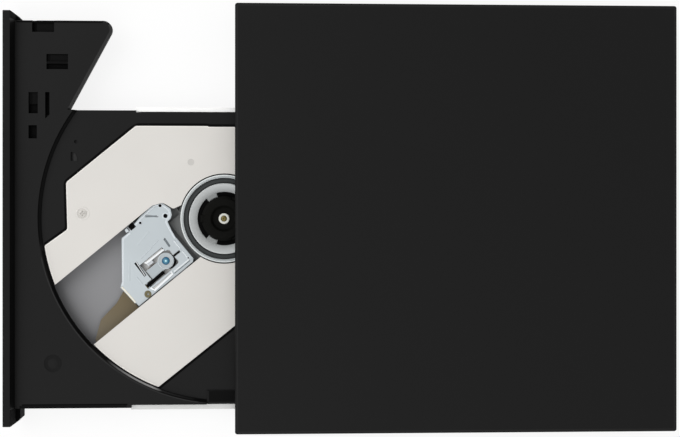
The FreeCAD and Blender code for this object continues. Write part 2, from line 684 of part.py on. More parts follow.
def traverse_dampers():
    """Soft rings between the tray's posts and the sled frame."""
    return group(*[on_sled(ring(2.2, 0.75, CHASSIS_TOP, 5.6, u, -v)) for u, v in DAMPERS])


def traverse_chassis():
    """Stiff U-shaped frame under the tray that carries the spindle, the guide rods and the feed motor."""
    edge = [
        (-17, -15, 2), (-9, -15), (-7, -13), (62, -13, 1), (62, -5.6), (15.4, -5.6), (15.4, 10.8), (10.8, 10.8),
        (10.8, 18.9), (63.3, 18.9), (63.3, 23.4), (-4, 23.4), (-4, 28, 1), (-15, 28, 2),
    ]
    plate = sled_slab(edge, CHASSIS_Z, CHASSIS_TOP)
    tab = sled_slab([(43, -13), (53, -13), (51, -19, 2), (45, -19, 2)], CHASSIS_Z, CHASSIS_TOP)
    places = [(8.5, 10.5, 19.4, 23.4), (61.5, 63.3, 19.4, 23.4), (14, 16, -11, -7.2), (60, 62, -11, -7)]
    holders = [sled_box(*place, CHASSIS_TOP, HOLDER_TOP) for place in places]
    frame = joined(plate, tab, *holders)
    cuts = [disc(3.0, 0, 20)]
    cuts += [disc(0.75, 0, 20, u, -v) for u, v in DAMPERS]
    cuts.append(rod(MAIN_ROD_RADIUS, (0, -MAIN_ROD_V, ROD_Z), (80, -MAIN_ROD_V, ROD_Z)))
    cuts.append(rod(SIDE_ROD_RADIUS, (0, -SIDE_ROD_V, ROD_Z), (80, -SIDE_ROD_V, ROD_Z)))
    return on_sled(frame.cut(cuts))


def guide_rod_main():
    return on_sled(rod(MAIN_ROD_RADIUS, (8.5, -MAIN_ROD_V, ROD_Z), (63.3, -MAIN_ROD_V, ROD_Z)))


def guide_rod_side():
    return on_sled(rod(SIDE_ROD_RADIUS, (14, -SIDE_ROD_V, ROD_Z), (62, -SIDE_ROD_V, ROD_Z)))


def feed_motor():
    """Small stepping motor at the inner end of the lead screw."""
    body = rod(2.2, (3.2, -SCREW_V, SCREW_Z), (12.0, -SCREW_V, SCREW_Z))
    return on_sled(body.cut(rod(0.55, (8.0, -SCREW_V, SCREW_Z), (12.0, -SCREW_V, SCREW_Z))))


def feed_bracket():
    """Strip with two ears that holds the motor and the far end of the lead screw."""
    strip = sled_box(12.0, 58.6, 23.4, 28.2, CHASSIS_Z, CHASSIS_Z + SHEET)
    ears = [sled_box(u, u + 0.6, 24, 28, CHASSIS_Z + SHEET, HOLDER_TOP) for u in (12.0, 58.0)]
    bracket = joined(strip, *ears)
    return on_sled(bracket.cut(rod(0.55, (10, -SCREW_V, SCREW_Z), (60, -SCREW_V, SCREW_Z))))


def lead_screw():
    """Threaded shaft between two thin journals."""
    start, end = 12.9, 57.7
    turns = round((end - start) / (SCREW_LEAD / 2))
    step = (end - start) / turns
    depth = 0.2
    edge = [Vector(start, 0, 0)]
    for i in range(turns):
        edge.append(Vector(start + i * step, SCREW_RADIUS - depth, 0))
        edge.append(Vector(start + (i + 0.5) * step, SCREW_RADIUS, 0))
    edge.append(Vector(end, SCREW_RADIUS - depth, 0))
    edge.append(Vector(end, 0, 0))
    edge.append(edge[0])
    thread = Part.Face(Part.makePolygon(edge)).revolve(Vector(0, 0, 0), Vector(1, 0, 0), 360)
    thread.translate(Vector(0, -SCREW_V, SCREW_Z))
    journals = [rod(0.5, (8.4, -SCREW_V, SCREW_Z), (start, -SCREW_V, SCREW_Z))]
    journals.append(rod(0.5, (end, -SCREW_V, SCREW_Z), (59.2, -SCREW_V, SCREW_Z)))
    return on_sled(joined(thread, *journals))


def spindle_motor():
    """Bearing sleeve in the sled frame and the wound stator around it."""
    bush = ring(3.0, SHAFT_RADIUS + RUNNING_GAP, CHASSIS_Z, 8.2)
    teeth = [ring(3.4, 3.0, 5.4, 8.0)]
    count = 9
    for i in range(count):
        tooth = joined(box(3.2, 10.6, -0.7, 0.7, 5.9, 7.5), box(5.0, 9.6, -1.4, 1.4, 5.4, 8.0))
        tooth = joined(tooth, box(10.4, 11.6, -2.9, 2.9, 5.9, 7.5))
        tooth.rotate(Vector(0, 0, 0), UP, i * 360.0 / count)
        teeth.append(tooth)
    return at_spindle(group(bush, joined(*teeth)))


def turntable():
    """Rotor cup whose top carries the disc seat, with three tabs that centre the seat, and its magnet."""
    low, high = TABLE_WEB_Z
    profile = [
        (SHAFT_RADIUS, low), (MAGNET_RADIUS, low), (MAGNET_RADIUS, 5.3), (TABLE_RADIUS, 5.3),
        (TABLE_RADIUS, TABLE_TOP - 0.25), (TABLE_RADIUS - 0.25, TABLE_TOP), (8.85, TABLE_TOP), (8.85, high),
        (SHAFT_RADIUS, high),
    ]
    cup = turned(profile)
    tabs = []
    for angle in TAB_ANGLES:
        tab = box(7.55, 9.2, -1.55, 1.55, high, TABLE_TOP)
        tab.rotate(Vector(0, 0, 0), UP, angle)
        tabs.append(tab)
    magnet = ring(MAGNET_RADIUS, 12.5, 5.5, low)
    return at_spindle(group(joined(cup, *tabs), magnet))


def turntable_rubber():
    return at_spindle(ring(13.4, 11.7, TABLE_TOP, DISC_SEAT))


def hub():
    """Centring boss with a dished top and three slots for the claws."""
    foot = TABLE_WEB_Z[1]
    profile = [
        (SHAFT_RADIUS, foot), (HUB_RADIUS - 0.35, foot), (HUB_RADIUS - 0.35, DISC_SEAT), (HUB_RADIUS, DISC_SEAT),
        (HUB_RADIUS, DISC_SEAT + HUB_WALL), (HUB_RADIUS - 0.9, HUB_TOP),
        (4.4, HUB_TOP), (3.6, HUB_DISH_Z), (BUSH_RADIUS, HUB_DISH_Z), (BUSH_RADIUS, BUSH_Z),
        (SHAFT_RADIUS, BUSH_Z),
    ]
    body = turned(profile)
    slots = []
    for angle in CLAW_ANGLES:
        slot = box(4.9, 9.0, -1.3, 1.3, 9.8, 12.3)
        slot.rotate(Vector(0, 0, 0), UP, angle)
        slots.append(slot)
    return at_spindle(body.cut(slots))


def hub_bush():
    return at_spindle(ring(BUSH_RADIUS, SHAFT_RADIUS, BUSH_Z, 12.3))


def spindle_shaft():
    shaft = joined(disc(SHAFT_RADIUS, 4.4, 12.2), disc(0.75, 12.2, 12.5))
    return at_spindle(shaft)


def hub_claw(angle):
    """Sprung claw whose nose stands out just above a seated disc."""
    claw = joined(box(5.6, 7.2, -1.1, 1.1, 10.0, 12.1), box(7.0, 7.75, -1.1, 1.1, 11.35, 12.1))
    claw = claw.makeChamfer(0.35, edges_where(claw, lambda p: near(p.x, 7.75) and near(p.z, 12.1)))
    claw.rotate(Vector(0, 0, 0), UP, angle)
    return at_spindle(claw)


def cover_edge():
    """Outline of the pickup's cover, outwards from the spindle and across the slot."""
    return [
        (16.3, -3.6), (16.3, 4.9), (16.7, 5.8), (15.7, 9.2), (15.2, 11.2, 0.4), (13.8, 11.3, 0.5),
        (12.7, 12.0, 0.5), (11.7, 13.9, 0.6), (12.6, 17.0, 0.8), (14.7, 18.5, 0.5), (15.7, 18.6, 0.3),
        (21.1, 18.1), (24.0, 17.5),
        (27.3, 16.5), (30.3, 16.5, 0.6), (39.3, 5.3, 0.4), (40.5, 4.5), (40.1, -4.4), (17.2, -4.4, 0.5),
    ]


def pickup_carriage():
    """Cast carriage with two bearing ears on the main rod and a jaw on the side rod."""
    edge = [
        (16.8, -4.2), (16.8, 9.0), (16.8, 11.6), (13.4, 12.2), (12.3, 14.0), (13.2, 17.0), (15.0, 18.2),
        (24.0, 17.2), (27.3, 16.2), (30.0, 16.0), (38.9, 5.0), (39.7, 4.2), (39.7, -4.2),
    ]
    block = sled_slab(edge, 4.05, COVER_Z)
    ears = [sled_box(12.6, 15.6, 16.5, 23.4, *BEARING_Z), sled_box(24.0, 27.4, 15.5, 23.4, *BEARING_Z)]
    jaw = sled_box(20, 26, -11.2, -4.0, *BEARING_Z)
    body = joined(block, *ears, jaw)
    cuts = [rod(MAIN_ROD_RADIUS + RUNNING_GAP, (0, -MAIN_ROD_V, ROD_Z), (80, -MAIN_ROD_V, ROD_Z))]
    cuts.append(sled_box(19, 27, -12, -7.4, 5.22, 7.38))
    cuts.append(sled_box(17.6, 33.2, -3.6, 7.7, 5.0, COVER_Z + 1))
    cuts.append(sled_box(33.9, 38.9, -3.0, 3.8, 4.8, COVER_Z + 1))
    cuts.append(sled_box(24.2, 26.3, 16.4, 20, BEARING_Z[1], COVER_Z + 1))
    cuts.append(rod(1.1, (16, -SCREW_V, SCREW_Z), (26, -SCREW_V, SCREW_Z)))
    return on_sled(body.cut(cuts))


def carriage_bush():
    """Black plastic block on the outer bearing ear, seen at the slot's edge."""
    return on_sled(sled_box(24.2, 26.3, 16.4, 18.5, BEARING_Z[1], COVER_Z + 0.15))


def screw_follower():
    """Half nut on the carriage that rides on the lead screw."""
    block = sled_box(16.0, 24.0, 23.4, 25.4, BEARING_Z[0], 7.0)
    foot = sled_box(15.6, 24.0, 22.9, 23.4, BEARING_Z[0], 7.0)
    nut = joined(block, foot)
    return on_sled(nut.cut(rod(SCREW_RADIUS + 0.05, (10, -SCREW_V, SCREW_Z), (30, -SCREW_V, SCREW_Z))))


def pickup_cover():
    """Thin sheet over the pickup, open above the lens, with a folded lip and a raised bead."""
    sheet = sled_slab(cover_edge(), COVER_Z, COVER_TOP)
    lip = sled_slab([(40.12, -3.0), (40.5, 4.3), (40.9, 4.3), (40.52, -3.0)], 7.0, COVER_TOP)
    bead = sled_box(16.4, 17.3, -3.4, 4.8, COVER_TOP, COVER_TOP + 0.25)
    cover = joined(sheet, lip, bead)
    window = [
        (18.2, 0.7), (20.8, 0.7), (20.6, -1.6, 0.8), (25.6, -2.0), (34.2, -2.0), (34.2, -0.2), (31.4, -0.2),
        (31.4, 5.8), (22.0, 5.8), (22.0, 4.2), (20.6, 3.8, 0.8), (20.8, 1.5), (18.2, 1.5),
    ]
    cuts = [sled_slab(window, 0, 20)]
    cuts.append(sled_slab([(31.7, 1.9), (32.6, 1.9), (32.4, 7.4), (31.4, 7.4)], 0, 20))
    cuts.append(sled_slab([(24.8, -2.6), (33.2, -2.6), (33.2, -3.7), (24.8, -3.5)], 0, 20))
    cuts.append(sled_slab([(19.2, 7.6), (20.0, 7.4), (20.0, 4.3), (19.6, 4.3)], 0, 20))
    cuts.append(sled_slab([(16.3, 14.4), (16.7, 14.2), (19.9, 17.4), (19.6, 17.9)], 0, 20))
    cuts.append(sled_box(24.2, 26.3, 16.4, 20, 0, 20))
    cuts.append(disc(0.5, 0, 20, 13.7, -16.75))
    cuts.append(disc(0.7, 0, 20, 14.5, -13.0))
    cuts.append(disc(1.15, 0, 20, 35.3, 3.2))
    return on_sled(cover.cut(cuts))


def actuator_yoke():
    """Steel base with two upright walls either side of the lens arm."""
    base = sled_box(20.6, 33.0, -3.5, 7.5, YOKE_Z, YOKE_FLOOR)
    places = [(22.2, 29.4, 4.6, 5.6), (24.9, 33.0, -3.5, -2.7)]
    walls = [sled_box(*place, YOKE_FLOOR, YOKE_TOP) for place in places]
    stand = sled_box(31.9, 32.3, 2.2, 7.2, YOKE_FLOOR, 8.3)
    return on_sled(joined(base, *walls, stand))


def actuator_magnets():
    places = [(27.3, 29.4, 3.7, 4.6), (26.9, 31.0, -2.7, -1.9)]
    return on_sled(group(*[sled_box(*place, YOKE_FLOOR, YOKE_FLOOR + 2.5) for place in places]))


def laser_module():
    """Sealed light source at the outer end of the carriage."""
    return on_sled(group(sled_box(34.1, 38.6, -2.6, 3.4, 4.8, 7.6)))


def lens_holder():
    """Ring around the lens with an arm that carries the focus coils."""
    ring_part = ring(2.6, LENS_RADIUS, 6.4, LENS_RIM_Z, LENS_U, -LENS_V)
    arm = sled_box(LENS_U + 1.8, 31.0, -0.5, 3.0, 6.4, 8.0)
    arm = arm.cut(disc(2.0, 0, 20, LENS_U, -LENS_V))
    return on_sled(joined(ring_part, arm))


def lens():
    """Small plano-convex lens."""
    drum = disc(LENS_RADIUS, 7.3, LENS_RIM_Z, LENS_U, -LENS_V)
    ball = Part.makeSphere(1.9, Vector(LENS_U, -LENS_V, 6.95))
    dome = ball.common(disc(LENS_RADIUS, LENS_RIM_Z, 9.0, LENS_U, -LENS_V))
    return on_sled(joined(drum, dome))


def pickup_flex():
    """Brown flexible circuit from the pickup's outer end, under the deck plate and back along the frame."""
    edge = [
        (41.0, 2.9), (45.1, 0.2, 4), (52.4, -1.0, 3), (58.7, -4.1, 1), (59.0, -7.0, 1), (54, -9.6, 2),
        (46.5, -11.3, 2), (44.6, -13), (44.6, -20, 4), (-12, -20), (-12, -14), (36, -14, 2), (41.3, -9, 2),
    ]
    return on_sled(sled_slab(edge, 4.88, 5.02))


def tray_bottom_shield():
    """Thin steel sheet under the tray, with a gap for the ribbon cable and holes below the damper screws."""
    sheet = box(FRONT_INSIDE, TRAY_REAR - 0.2, -60.9, TRAY_LEFT - 0.1, SHIELD_Z, TRAY_BOTTOM)
    holes = [on_sled(disc(2.4, 0, 20, u, -v)) for u, v in DAMPERS]
    return sheet.cut([box(24, 60, 14, 28, 0, 20)] + holes)


def front_board():
    """Narrow board behind the bezel for the eject switch and the status light."""
    board = box(FRONT_INSIDE, -65.0, -58, -27, TRAY_BOTTOM, TRAY_BOARD_TOP)
    half_y = LIGHT_HALF[0]
    lamp = box(-68.0, -66.2, LIGHT_Y - half_y, LIGHT_Y + half_y, TRAY_BOARD_TOP, 8.0)
    return group(board, lamp)


def eject_switch():
    body = box(-67.9, -65.3, BUTTON_Y - 2.2, BUTTON_Y + 2.2, TRAY_BOARD_TOP, 7.9)
    key = box(-68.3, -67.9, BUTTON_Y - 0.8, BUTTON_Y + 0.8, BUTTON_Z - 1.2, BUTTON_Z)
    return joined(body, key)


def relay_board():
    """Board at the tray's rear where the ribbon cable and the pickup's circuit end."""
    board = box(18.2, 27.5, -27, 29, TRAY_BOTTOM, TRAY_BOARD_TOP)
    sockets = [box(21.5, 26.2, 15.5, 26.5, TRAY_BOARD_TOP, 5.6), box(19.5, 23.0, -14, -6, 5.05, 6.4)]
    riser = box(19.5, 23.0, -14, -6, TRAY_BOARD_TOP, 4.85)
    return group(board, *sockets, riser)


def solenoid():
    """Coil in a small steel frame under the wing."""
    x0, x1 = -56.5, -49.6
    y0, y1 = PLUNGER_Y - 2.8, PLUNGER_Y + 2.8
    frame = joined(
        box(x0, x0 + 0.6, y0, y1, 4.2, FLOOR_TOP),
        box(x1 - 0.6, x1, y0, y1, 4.2, FLOOR_TOP),
        box(x0, x1, y0, y1, FLOOR_TOP - 0.5, FLOOR_TOP),
    )
    bore = rod(0.75, (x0 - 1, PLUNGER_Y, PLUNGER_Z), (x1 + 1, PLUNGER_Y, PLUNGER_Z))
    coil = rod(2.0, (x0 + 0.6, PLUNGER_Y, PLUNGER_Z), (x1 - 0.6, PLUNGER_Y, PLUNGER_Z))
    return group(frame.cut(bore), coil.cut(bore))


def solenoid_plunger():
    return rod(0.7, (-58.2, PLUNGER_Y, PLUNGER_Z), (-50.2, PLUNGER_Y, PLUNGER_Z))


def lock_lever():
    """Hooked lever on a post under the wing, drawn latched and turned back to its open place."""
    px, py = LEVER_PIVOT
    arm = slab([(-0.9, 1.3), (0.9, -1.3), (6.6, 5.4), (6.6, 8.4), (4.8, 8.4), (4.8, 6.6)], *LEVER_Z)
    boss = disc(2.0, *LEVER_Z)
    lever = joined(arm, boss).cut(disc(POST_RADIUS + RUNNING_GAP, 5, 7))
    lever.rotate(Vector(0, 0, 0), UP, -LEVER_TURN)
    return moved(lever, px, py)


def release_slider():
    """Small block behind the pinhole in the bezel."""
    half = 1.0
    return box(FRONT_INSIDE, -67.4, RELEASE_Y - half, RELEASE_Y + half, RELEASE_Z - half, RELEASE_Z + half)


def ejector_rod():
    """Sprung push rod at the tray's rear with a collar for its spring."""
    shaft = rod(1.2, (20, EJECTOR_Y, EJECTOR_Z), (56, EJECTOR_Y, EJECTOR_Z))
    collar = rod(2.0, (47, EJECTOR_Y, EJECTOR_Z), (48.2, EJECTOR_Y, EJECTOR_Z))
    return joined(shaft, collar)


def ejector_spring():
    """Coil spring between the tray's rib and the rod's collar."""
    radius, wire, pitch = 1.62, 0.18, 1.2
    x0, x1 = 25.3, 46.7
    helix = Part.makeHelix(pitch, x1 - x0, radius)
    section = Part.Wire(Part.makeCircle(wire, Vector(radius, 0, 0), Vector(0, 1, 0)))
    coil = Part.Wire(helix.Edges).makePipeShell([section], True, True)
    coil.rotate(Vector(0, 0, 0), Vector(0, 1, 0), 90)
    return moved(coil, x0, EJECTOR_Y, EJECTOR_Z)


PIECES = {
    "top_cover": top_cover,
    "bottom_cover": bottom_cover,
    "rubber_feet": rubber_feet,
    "case_screws": case_screws,
    "drive_base_pan": drive_base_pan,
    "drive_lid": drive_lid,
    "drive_lid_screws": drive_lid_screws,
    "rail_guide_left": rail_guide_left,
    "rail_guide_right": rail_guide_right,
    "rail_left": rail_left,
    "rail_right": rail_right,
    "main_board": main_board,
    "bridge_board": bridge_board,
    "bridge_data_socket": bridge_data_socket,
    "usb_socket_shell": usb_socket_shell,
    "usb_socket_tongue": usb_socket_tongue,
    "ribbon_cable": ribbon_cable,
    "tray_frame": tray_frame,
    "bezel": bezel,
    "status_light": status_light,
    "eject_button": eject_button,
    "deck_plate": deck_plate,
    "tray_screws": tray_screws,
    "traverse_dampers": traverse_dampers,
    "traverse_chassis": traverse_chassis,
    "guide_rod_main": guide_rod_main,
    "guide_rod_side": guide_rod_side,
    "feed_motor": feed_motor,
    "feed_bracket": feed_bracket,
    "lead_screw": lead_screw,
    "spindle_motor": spindle_motor,
    "turntable": turntable,
    "turntable_rubber": turntable_rubber,
    "hub": hub,
    "hub_bush": hub_bush,
    "spindle_shaft": spindle_shaft,
    "pickup_carriage": pickup_carriage,
    "carriage_bush": carriage_bush,
    "screw_follower": screw_follower,
    "pickup_cover": pickup_cover,
    "actuator_yoke": actuator_yoke,
    "actuator_magnets": actuator_magnets,
    "laser_module": laser_module,
    "lens_holder": lens_holder,
    "lens": lens,
    "pickup_flex": pickup_flex,
    "tray_bottom_shield": tray_bottom_shield,
    "front_board": front_board,
    "eject_switch": eject_switch,
    "relay_board": relay_board,
    "solenoid": solenoid,
    "solenoid_plunger": solenoid_plunger,
    "lock_lever": lock_lever,
    "release_slider": release_slider,
    "ejector_rod": ejector_rod,
    "ejector_spring": ejector_spring,
}


def build():
    """Makes every piece and writes it to its own file."""
    shapes = {name: make() for name, make in PIECES.items()}
    for number, angle in enumerate(CLAW_ANGLES, 1):
        shapes[f"hub_claw_{number}"] = hub_claw(angle)
    os.makedirs("parts", exist_ok=True)
    for name, shape in shapes.items():
        shape = moved(shape, FRONT_SHIFT)
        shape.exportStep(f"parts/{name}.step")
        shapes[name] = shape
    return shapes


SHAPES = build()
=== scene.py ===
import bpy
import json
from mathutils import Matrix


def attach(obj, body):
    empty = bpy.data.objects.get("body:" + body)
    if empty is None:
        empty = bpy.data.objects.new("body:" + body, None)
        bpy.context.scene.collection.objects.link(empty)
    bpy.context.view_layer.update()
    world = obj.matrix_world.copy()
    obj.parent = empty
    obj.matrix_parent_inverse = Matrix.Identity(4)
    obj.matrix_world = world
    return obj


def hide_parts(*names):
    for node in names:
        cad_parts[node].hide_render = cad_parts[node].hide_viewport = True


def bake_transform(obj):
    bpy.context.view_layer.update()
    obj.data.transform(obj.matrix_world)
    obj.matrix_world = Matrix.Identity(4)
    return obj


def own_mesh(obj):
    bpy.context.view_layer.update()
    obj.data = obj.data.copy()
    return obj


bl_info = {
    "name": "External disc drive",
    "version": (1, 0, 0),
    "blender": (4, 5, 0),
    "location": "View3D > Sidebar > Disc drive",
    "description": "Finishes and fine pieces of an external disc drive with its tray out",
    "category": "Object",
}

import bmesh
import bpy
import json
import math
import numpy as np
from bpy.props import FloatProperty, FloatVectorProperty, IntProperty, PointerProperty

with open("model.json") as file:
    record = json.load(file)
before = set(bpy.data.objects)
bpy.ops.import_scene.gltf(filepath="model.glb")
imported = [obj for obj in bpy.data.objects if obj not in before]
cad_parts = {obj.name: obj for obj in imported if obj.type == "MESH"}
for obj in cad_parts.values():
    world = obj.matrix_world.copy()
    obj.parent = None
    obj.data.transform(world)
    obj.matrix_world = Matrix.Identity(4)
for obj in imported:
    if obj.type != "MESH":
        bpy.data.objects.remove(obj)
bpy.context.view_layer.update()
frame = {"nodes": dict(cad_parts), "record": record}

# Places are written in millimetres from the case's front edge, as in the drive's own drawing.
MM = 0.001
FRONT_SHIFT = -35.0
CASE_LENGTH = 145.0
CASE_TOP = 17.0
DECK_TOP = 11.0
FLOOR_TOP = 9.0
LOW_RIM_TOP = FLOOR_TOP + 0.6
PLATE_TOP = FLOOR_TOP + 0.3
PLATE_SCREW = (-50.3, 1.67)
DISH_AT = (-59.6, -47.35)
SPINDLE = (-3.8, 0.0)
TABLE_TOP = 9.6
SLED_TURN = math.radians(219.4)
SCREW_V = 26.0
SCREW_Z = 5.75
LENS_U = 23.82
LENS_V = 1.5
COVER_TOP = 8.45
SEAT_INNER = 11.7
SEAT_OUTER = 13.4
SOCKET_Y = 22.0

TAU = 2 * math.pi
THIRD_OF_TURN = 120.0
ALONG_X = (1.0, 0.0, 0.0)
CREASE_ANGLE = 35.0
FINE_STEPS = 160
MOULD_GRAIN = 2600.0

# The camera's place in metres and its tilt about y, and the light that the floor and the sky give.
CAMERA_X = -0.016655
CAMERA_Y = 0.000028
CAMERA_TILT = -0.0413154
FLOOR_GLOW = 0.84
SKY_LIGHT = 0.6


# Shapes

def place(x, y, z):
    """Drawing millimetres to metres in the shared frame: shift along x, then scale."""
    x, y, z = np.broadcast_arrays(x, y, z)
    return np.stack([x + FRONT_SHIFT, y, z], -1) * MM


def sled(u, v):
    """Outward distance u and cross distance v on the sled, turned by its angle about the spindle."""
    u, v = np.asarray(u, float), np.asarray(v, float)
    c, s = math.cos(SLED_TURN), math.sin(SLED_TURN)
    return SPINDLE[0] + u * c + v * s, u * s - v * c


def on_sled(u, v, z):
    x, y = sled(u, v)
    return place(x, y, z)


def spot(u, v):
    """One place on the sled as a plain pair of drawing millimetres."""
    x, y = sled(u, v)
    return float(x), float(y)


LENS_AT = spot(LENS_U, LENS_V)


def unit(vectors):
    """Each vector of an array divided by its length."""
    return vectors / np.maximum(np.linalg.norm(vectors, axis=1), 1e-12)[:, None]


def grid_faces(rows, cols, close_rows, close_cols):
    """Quads between neighbours of a grid, with the last row or column joined to the first where it closes."""
    index = np.arange(rows * cols).reshape(rows, cols)
    if close_rows:
        index = np.vstack([index, index[:1]])
    if close_cols:
        index = np.hstack([index, index[:, :1]])
    corners = [index[:-1, :-1], index[1:, :-1], index[1:, 1:], index[:-1, 1:]]
    return np.stack(corners, -1).reshape(-1, 4).tolist()


def loft(points, close_rows=False, cap=True):
    """Closed rings of points, one ring to a row, skinned row to row; the end rings get a flat cap."""
    rows, cols = points.shape[:2]
    faces = grid_faces(rows, cols, close_rows, True)
    if cap and not close_rows:
        faces.append(list(range(cols))[::-1])
        faces.append(list(range((rows - 1) * cols, rows * cols)))
    return points.reshape(-1, 3), faces


def lathe(profile, centre, steps):
    """Radius and height pairs turned about an upright axis: x = r cos a, y = r sin a, z = height."""
    profile = np.array(profile, float)
    angle = np.linspace(0, TAU, steps, endpoint=False)[:, None]
    x = centre[0] + profile[None, :, 0] * np.cos(angle)
    y = centre[1] + profile[None, :, 0] * np.sin(angle)
    points = place(x, y, profile[None, :, 1])
    return loft(points, close_rows=True)


def sweep(path, section, closed=False):
    """A closed section carried along a path: point = path + across * side + up * normal, where side is level
    and square to the path, or world x where the path is upright."""
    path, section = np.array(path, float), np.array(section, float)
    along = unit(np.roll(path, -1, 0) - np.roll(path, 1, 0) if closed else np.gradient(path, axis=0))
    side = np.cross(along, (0.0, 0.0, 1.0))
    level = np.linalg.norm(side, axis=1)
    side = np.where(level[:, None] < 1e-4, ALONG_X, side / np.maximum(level, 1e-9)[:, None])
    up = np.cross(side, along)
    points = path[:, None] + section[None, :, :1] * side[:, None] + section[None, :, 1:] * up[:, None]
    return loft(points, close_rows=closed)


def round_section(radius, steps):
    """Points of a circle, counter-clockwise, in metres."""
    angle = np.linspace(0, TAU, steps, endpoint=False)
    return np.stack([np.cos(angle), np.sin(angle)], -1) * radius * MM


def wire_loop(path, axis, radius, steps):
    """A round wire carried round a flat closed path; each ring spans the path's axis and its outward side."""
    axis = np.array(axis)
    side = np.cross(unit(np.roll(path, -1, 0) - np.roll(path, 1, 0)), axis)
    ring = round_section(radius, steps)
    return loft(path[:, None] + ring[None, :, :1] * side[:, None] + ring[None, :, 1:] * axis, close_rows=True)


def bow(middle, reach, start=0.0, end=180.0, steps=9):
    """Points of an upright oval between two angles: middle + reach * (cos a, sin a)."""
    return [(middle[0] + reach[0] * math.cos(a), middle[1] + reach[1] * math.sin(a))
            for a in np.radians(np.linspace(start, end, steps))]


def pressed_section(width, height):
    """A low rounded bead: flat underneath, and its top a half period of a cosine."""
    t = np.linspace(-0.5, 0.5, 9)
    top = np.stack([t * width, height * np.cos(math.pi * t)], -1)
    base = np.array([[0.5 * width, -0.05], [-0.5 * width, -0.05]])
    return np.vstack([top, base])[::-1] * MM


def rectangle(x0, x1, y0, y1):
    return [(x0, y0), (x1, y0), (x1, y1), (x0, y1)]


def rounded(corners, radius, steps=5, closed=True):
    """A path with each corner replaced by a quadratic curve that starts and ends a radius away from it."""
    corners = np.array(corners, float)
    before, after = np.roll(corners, 1, 0), np.roll(corners, -1, 0)
    t = np.linspace(0, 1, steps)[:, None]
    parts = []
    for i, (a, b, c) in enumerate(zip(before, corners, after)):
        if not closed and i in (0, len(corners) - 1):
            parts.append(b[None])
            continue
        near_in = b + (a - b) * min(0.45, radius / np.linalg.norm(a - b))
        near_out = b + (c - b) * min(0.45, radius / np.linalg.norm(c - b))
        parts.append((1 - t) ** 2 * near_in + 2 * t * (1 - t) * b + t ** 2 * near_out)
    return np.vstack(parts)


def pad(outline, low, high, edge, at=place):
    """A plate over an outline whose upper edge rolls over: rings shrink towards the middle by
    edge * (1 - cos a) while they rise by edge * sin a. The last ring is its flat top."""
    middle = outline.mean(0)
    reach = np.linalg.norm(outline - middle, axis=1)[:, None]
    angle = np.linspace(0, math.pi / 2, 4)
    inset = np.concatenate([[0.0], edge * (1 - np.cos(angle))])
    height = np.concatenate([[low], high - edge + edge * np.sin(angle)])
    rings = [middle + (outline - middle) * np.maximum(0.0, 1 - d / reach) for d in inset]
    return loft(np.stack([at(*ring.T, z) for ring, z in zip(rings, height)]))


def edge_strip(path, height, inner, outer, thick=0.06):
    """A flat strip along a level path; its section reaches from inner to outer, to the right of travel."""
    path = np.array(path, float)
    points = place(path[:, 0], path[:, 1], height)
    side = 0.6 * thick
    near, far = 0.4 * outer + 0.6 * inner, 0.6 * outer + 0.4 * inner
    section = np.array([(inner, -0.03), (outer, -0.03), (outer, side), (far, thick), (near, thick),
                        (inner, side)]) * MM
    return sweep(points, section[::-1])


def arc_path(radius, start, end, centre=SPINDLE, steps=120):
    a = np.radians(np.linspace(start, end, steps))
    return np.stack([centre[0] + radius * np.cos(a), centre[1] + radius * np.sin(a)], -1)


def sled_bar(corners, width, low, high, edge=0.06):
    """A bar along a path on the sled, with its two upper edges broken."""
    path = on_sled(*np.array(corners, float).T, low)
    w, h, e = width / 2, high - low, edge
    section = np.array([(-w, 0), (w, 0), (w, h - e), (w - e, h), (-w + e, h), (-w, h - e)]) * MM
    return sweep(path, section)


def cross_head(x, y, radius, low, high, depth, down=False):
    """Screw head on a polar grid: a dome that falls with the square of r, less a cross-shaped dip whose
    walls are a smooth step of the distance to the nearer arm's middle line."""
    steps, rows = 64, 22
    r = np.linspace(0, 1, rows)[:, None]
    a = np.linspace(0, TAU, steps, endpoint=False)[None, :]
    px, py = r * np.cos(a), r * np.sin(a)
    dome = 1 - 0.35 * r ** 2
    arm = np.minimum(np.abs(px), np.abs(py))
    long = np.maximum(np.abs(px), np.abs(py))
    inside = np.clip((0.17 - arm) / 0.06, 0, 1) * np.clip((0.66 - long) / 0.08, 0, 1)
    z = low + (high - low) * dome - depth * inside * inside * (3 - 2 * inside)
    top = np.stack([px * radius, py * radius, z], -1)
    rim = np.stack([px[-1] * radius, py[-1] * radius, np.full(steps, low)], -1)[None]
    base = rim * (0, 0, 1)
    points = np.concatenate([top, rim, base])
    if down:
        points[..., 2] = low + high - points[..., 2]
    points[..., 0] += x
    points[..., 1] += y
    return loft(place(points[..., 0], points[..., 1], points[..., 2]), cap=False)


def helix(start, end, centre, radius, wire, turns):
    """A wire round a level axis: x runs from start to end while y and z circle the axis. The pitch narrows
    over the first and the last three quarters of a turn."""
    steps, flat_ends = 28, 0.75
    count = int(turns * steps)
    t = np.linspace(0, turns, count)
    ease = np.minimum(1.0, np.minimum(t, turns - t) / flat_ends)
    rate = wire * 2 + (1 - wire * 2) * ease ** 2
    travel = np.concatenate([[0], np.cumsum((rate[1:] + rate[:-1]) / 2)])
    x = start + wire + (end - start - 2 * wire) * travel / travel[-1]
    y = centre[0] + radius * np.cos(TAU * t)
    z = centre[1] + radius * np.sin(TAU * t)
    path = place(x, y, z)
    along = unit(np.gradient(path, axis=0))
    outward = np.stack([np.zeros_like(t), np.cos(TAU * t), np.sin(TAU * t)], -1)
    square = np.cross(along, outward)
    ring = round_section(wire, 8)
    points = path[:, None] + ring[None, :, :1] * outward[:, None] + ring[None, :, 1:] * square[:, None]
    return loft(points)


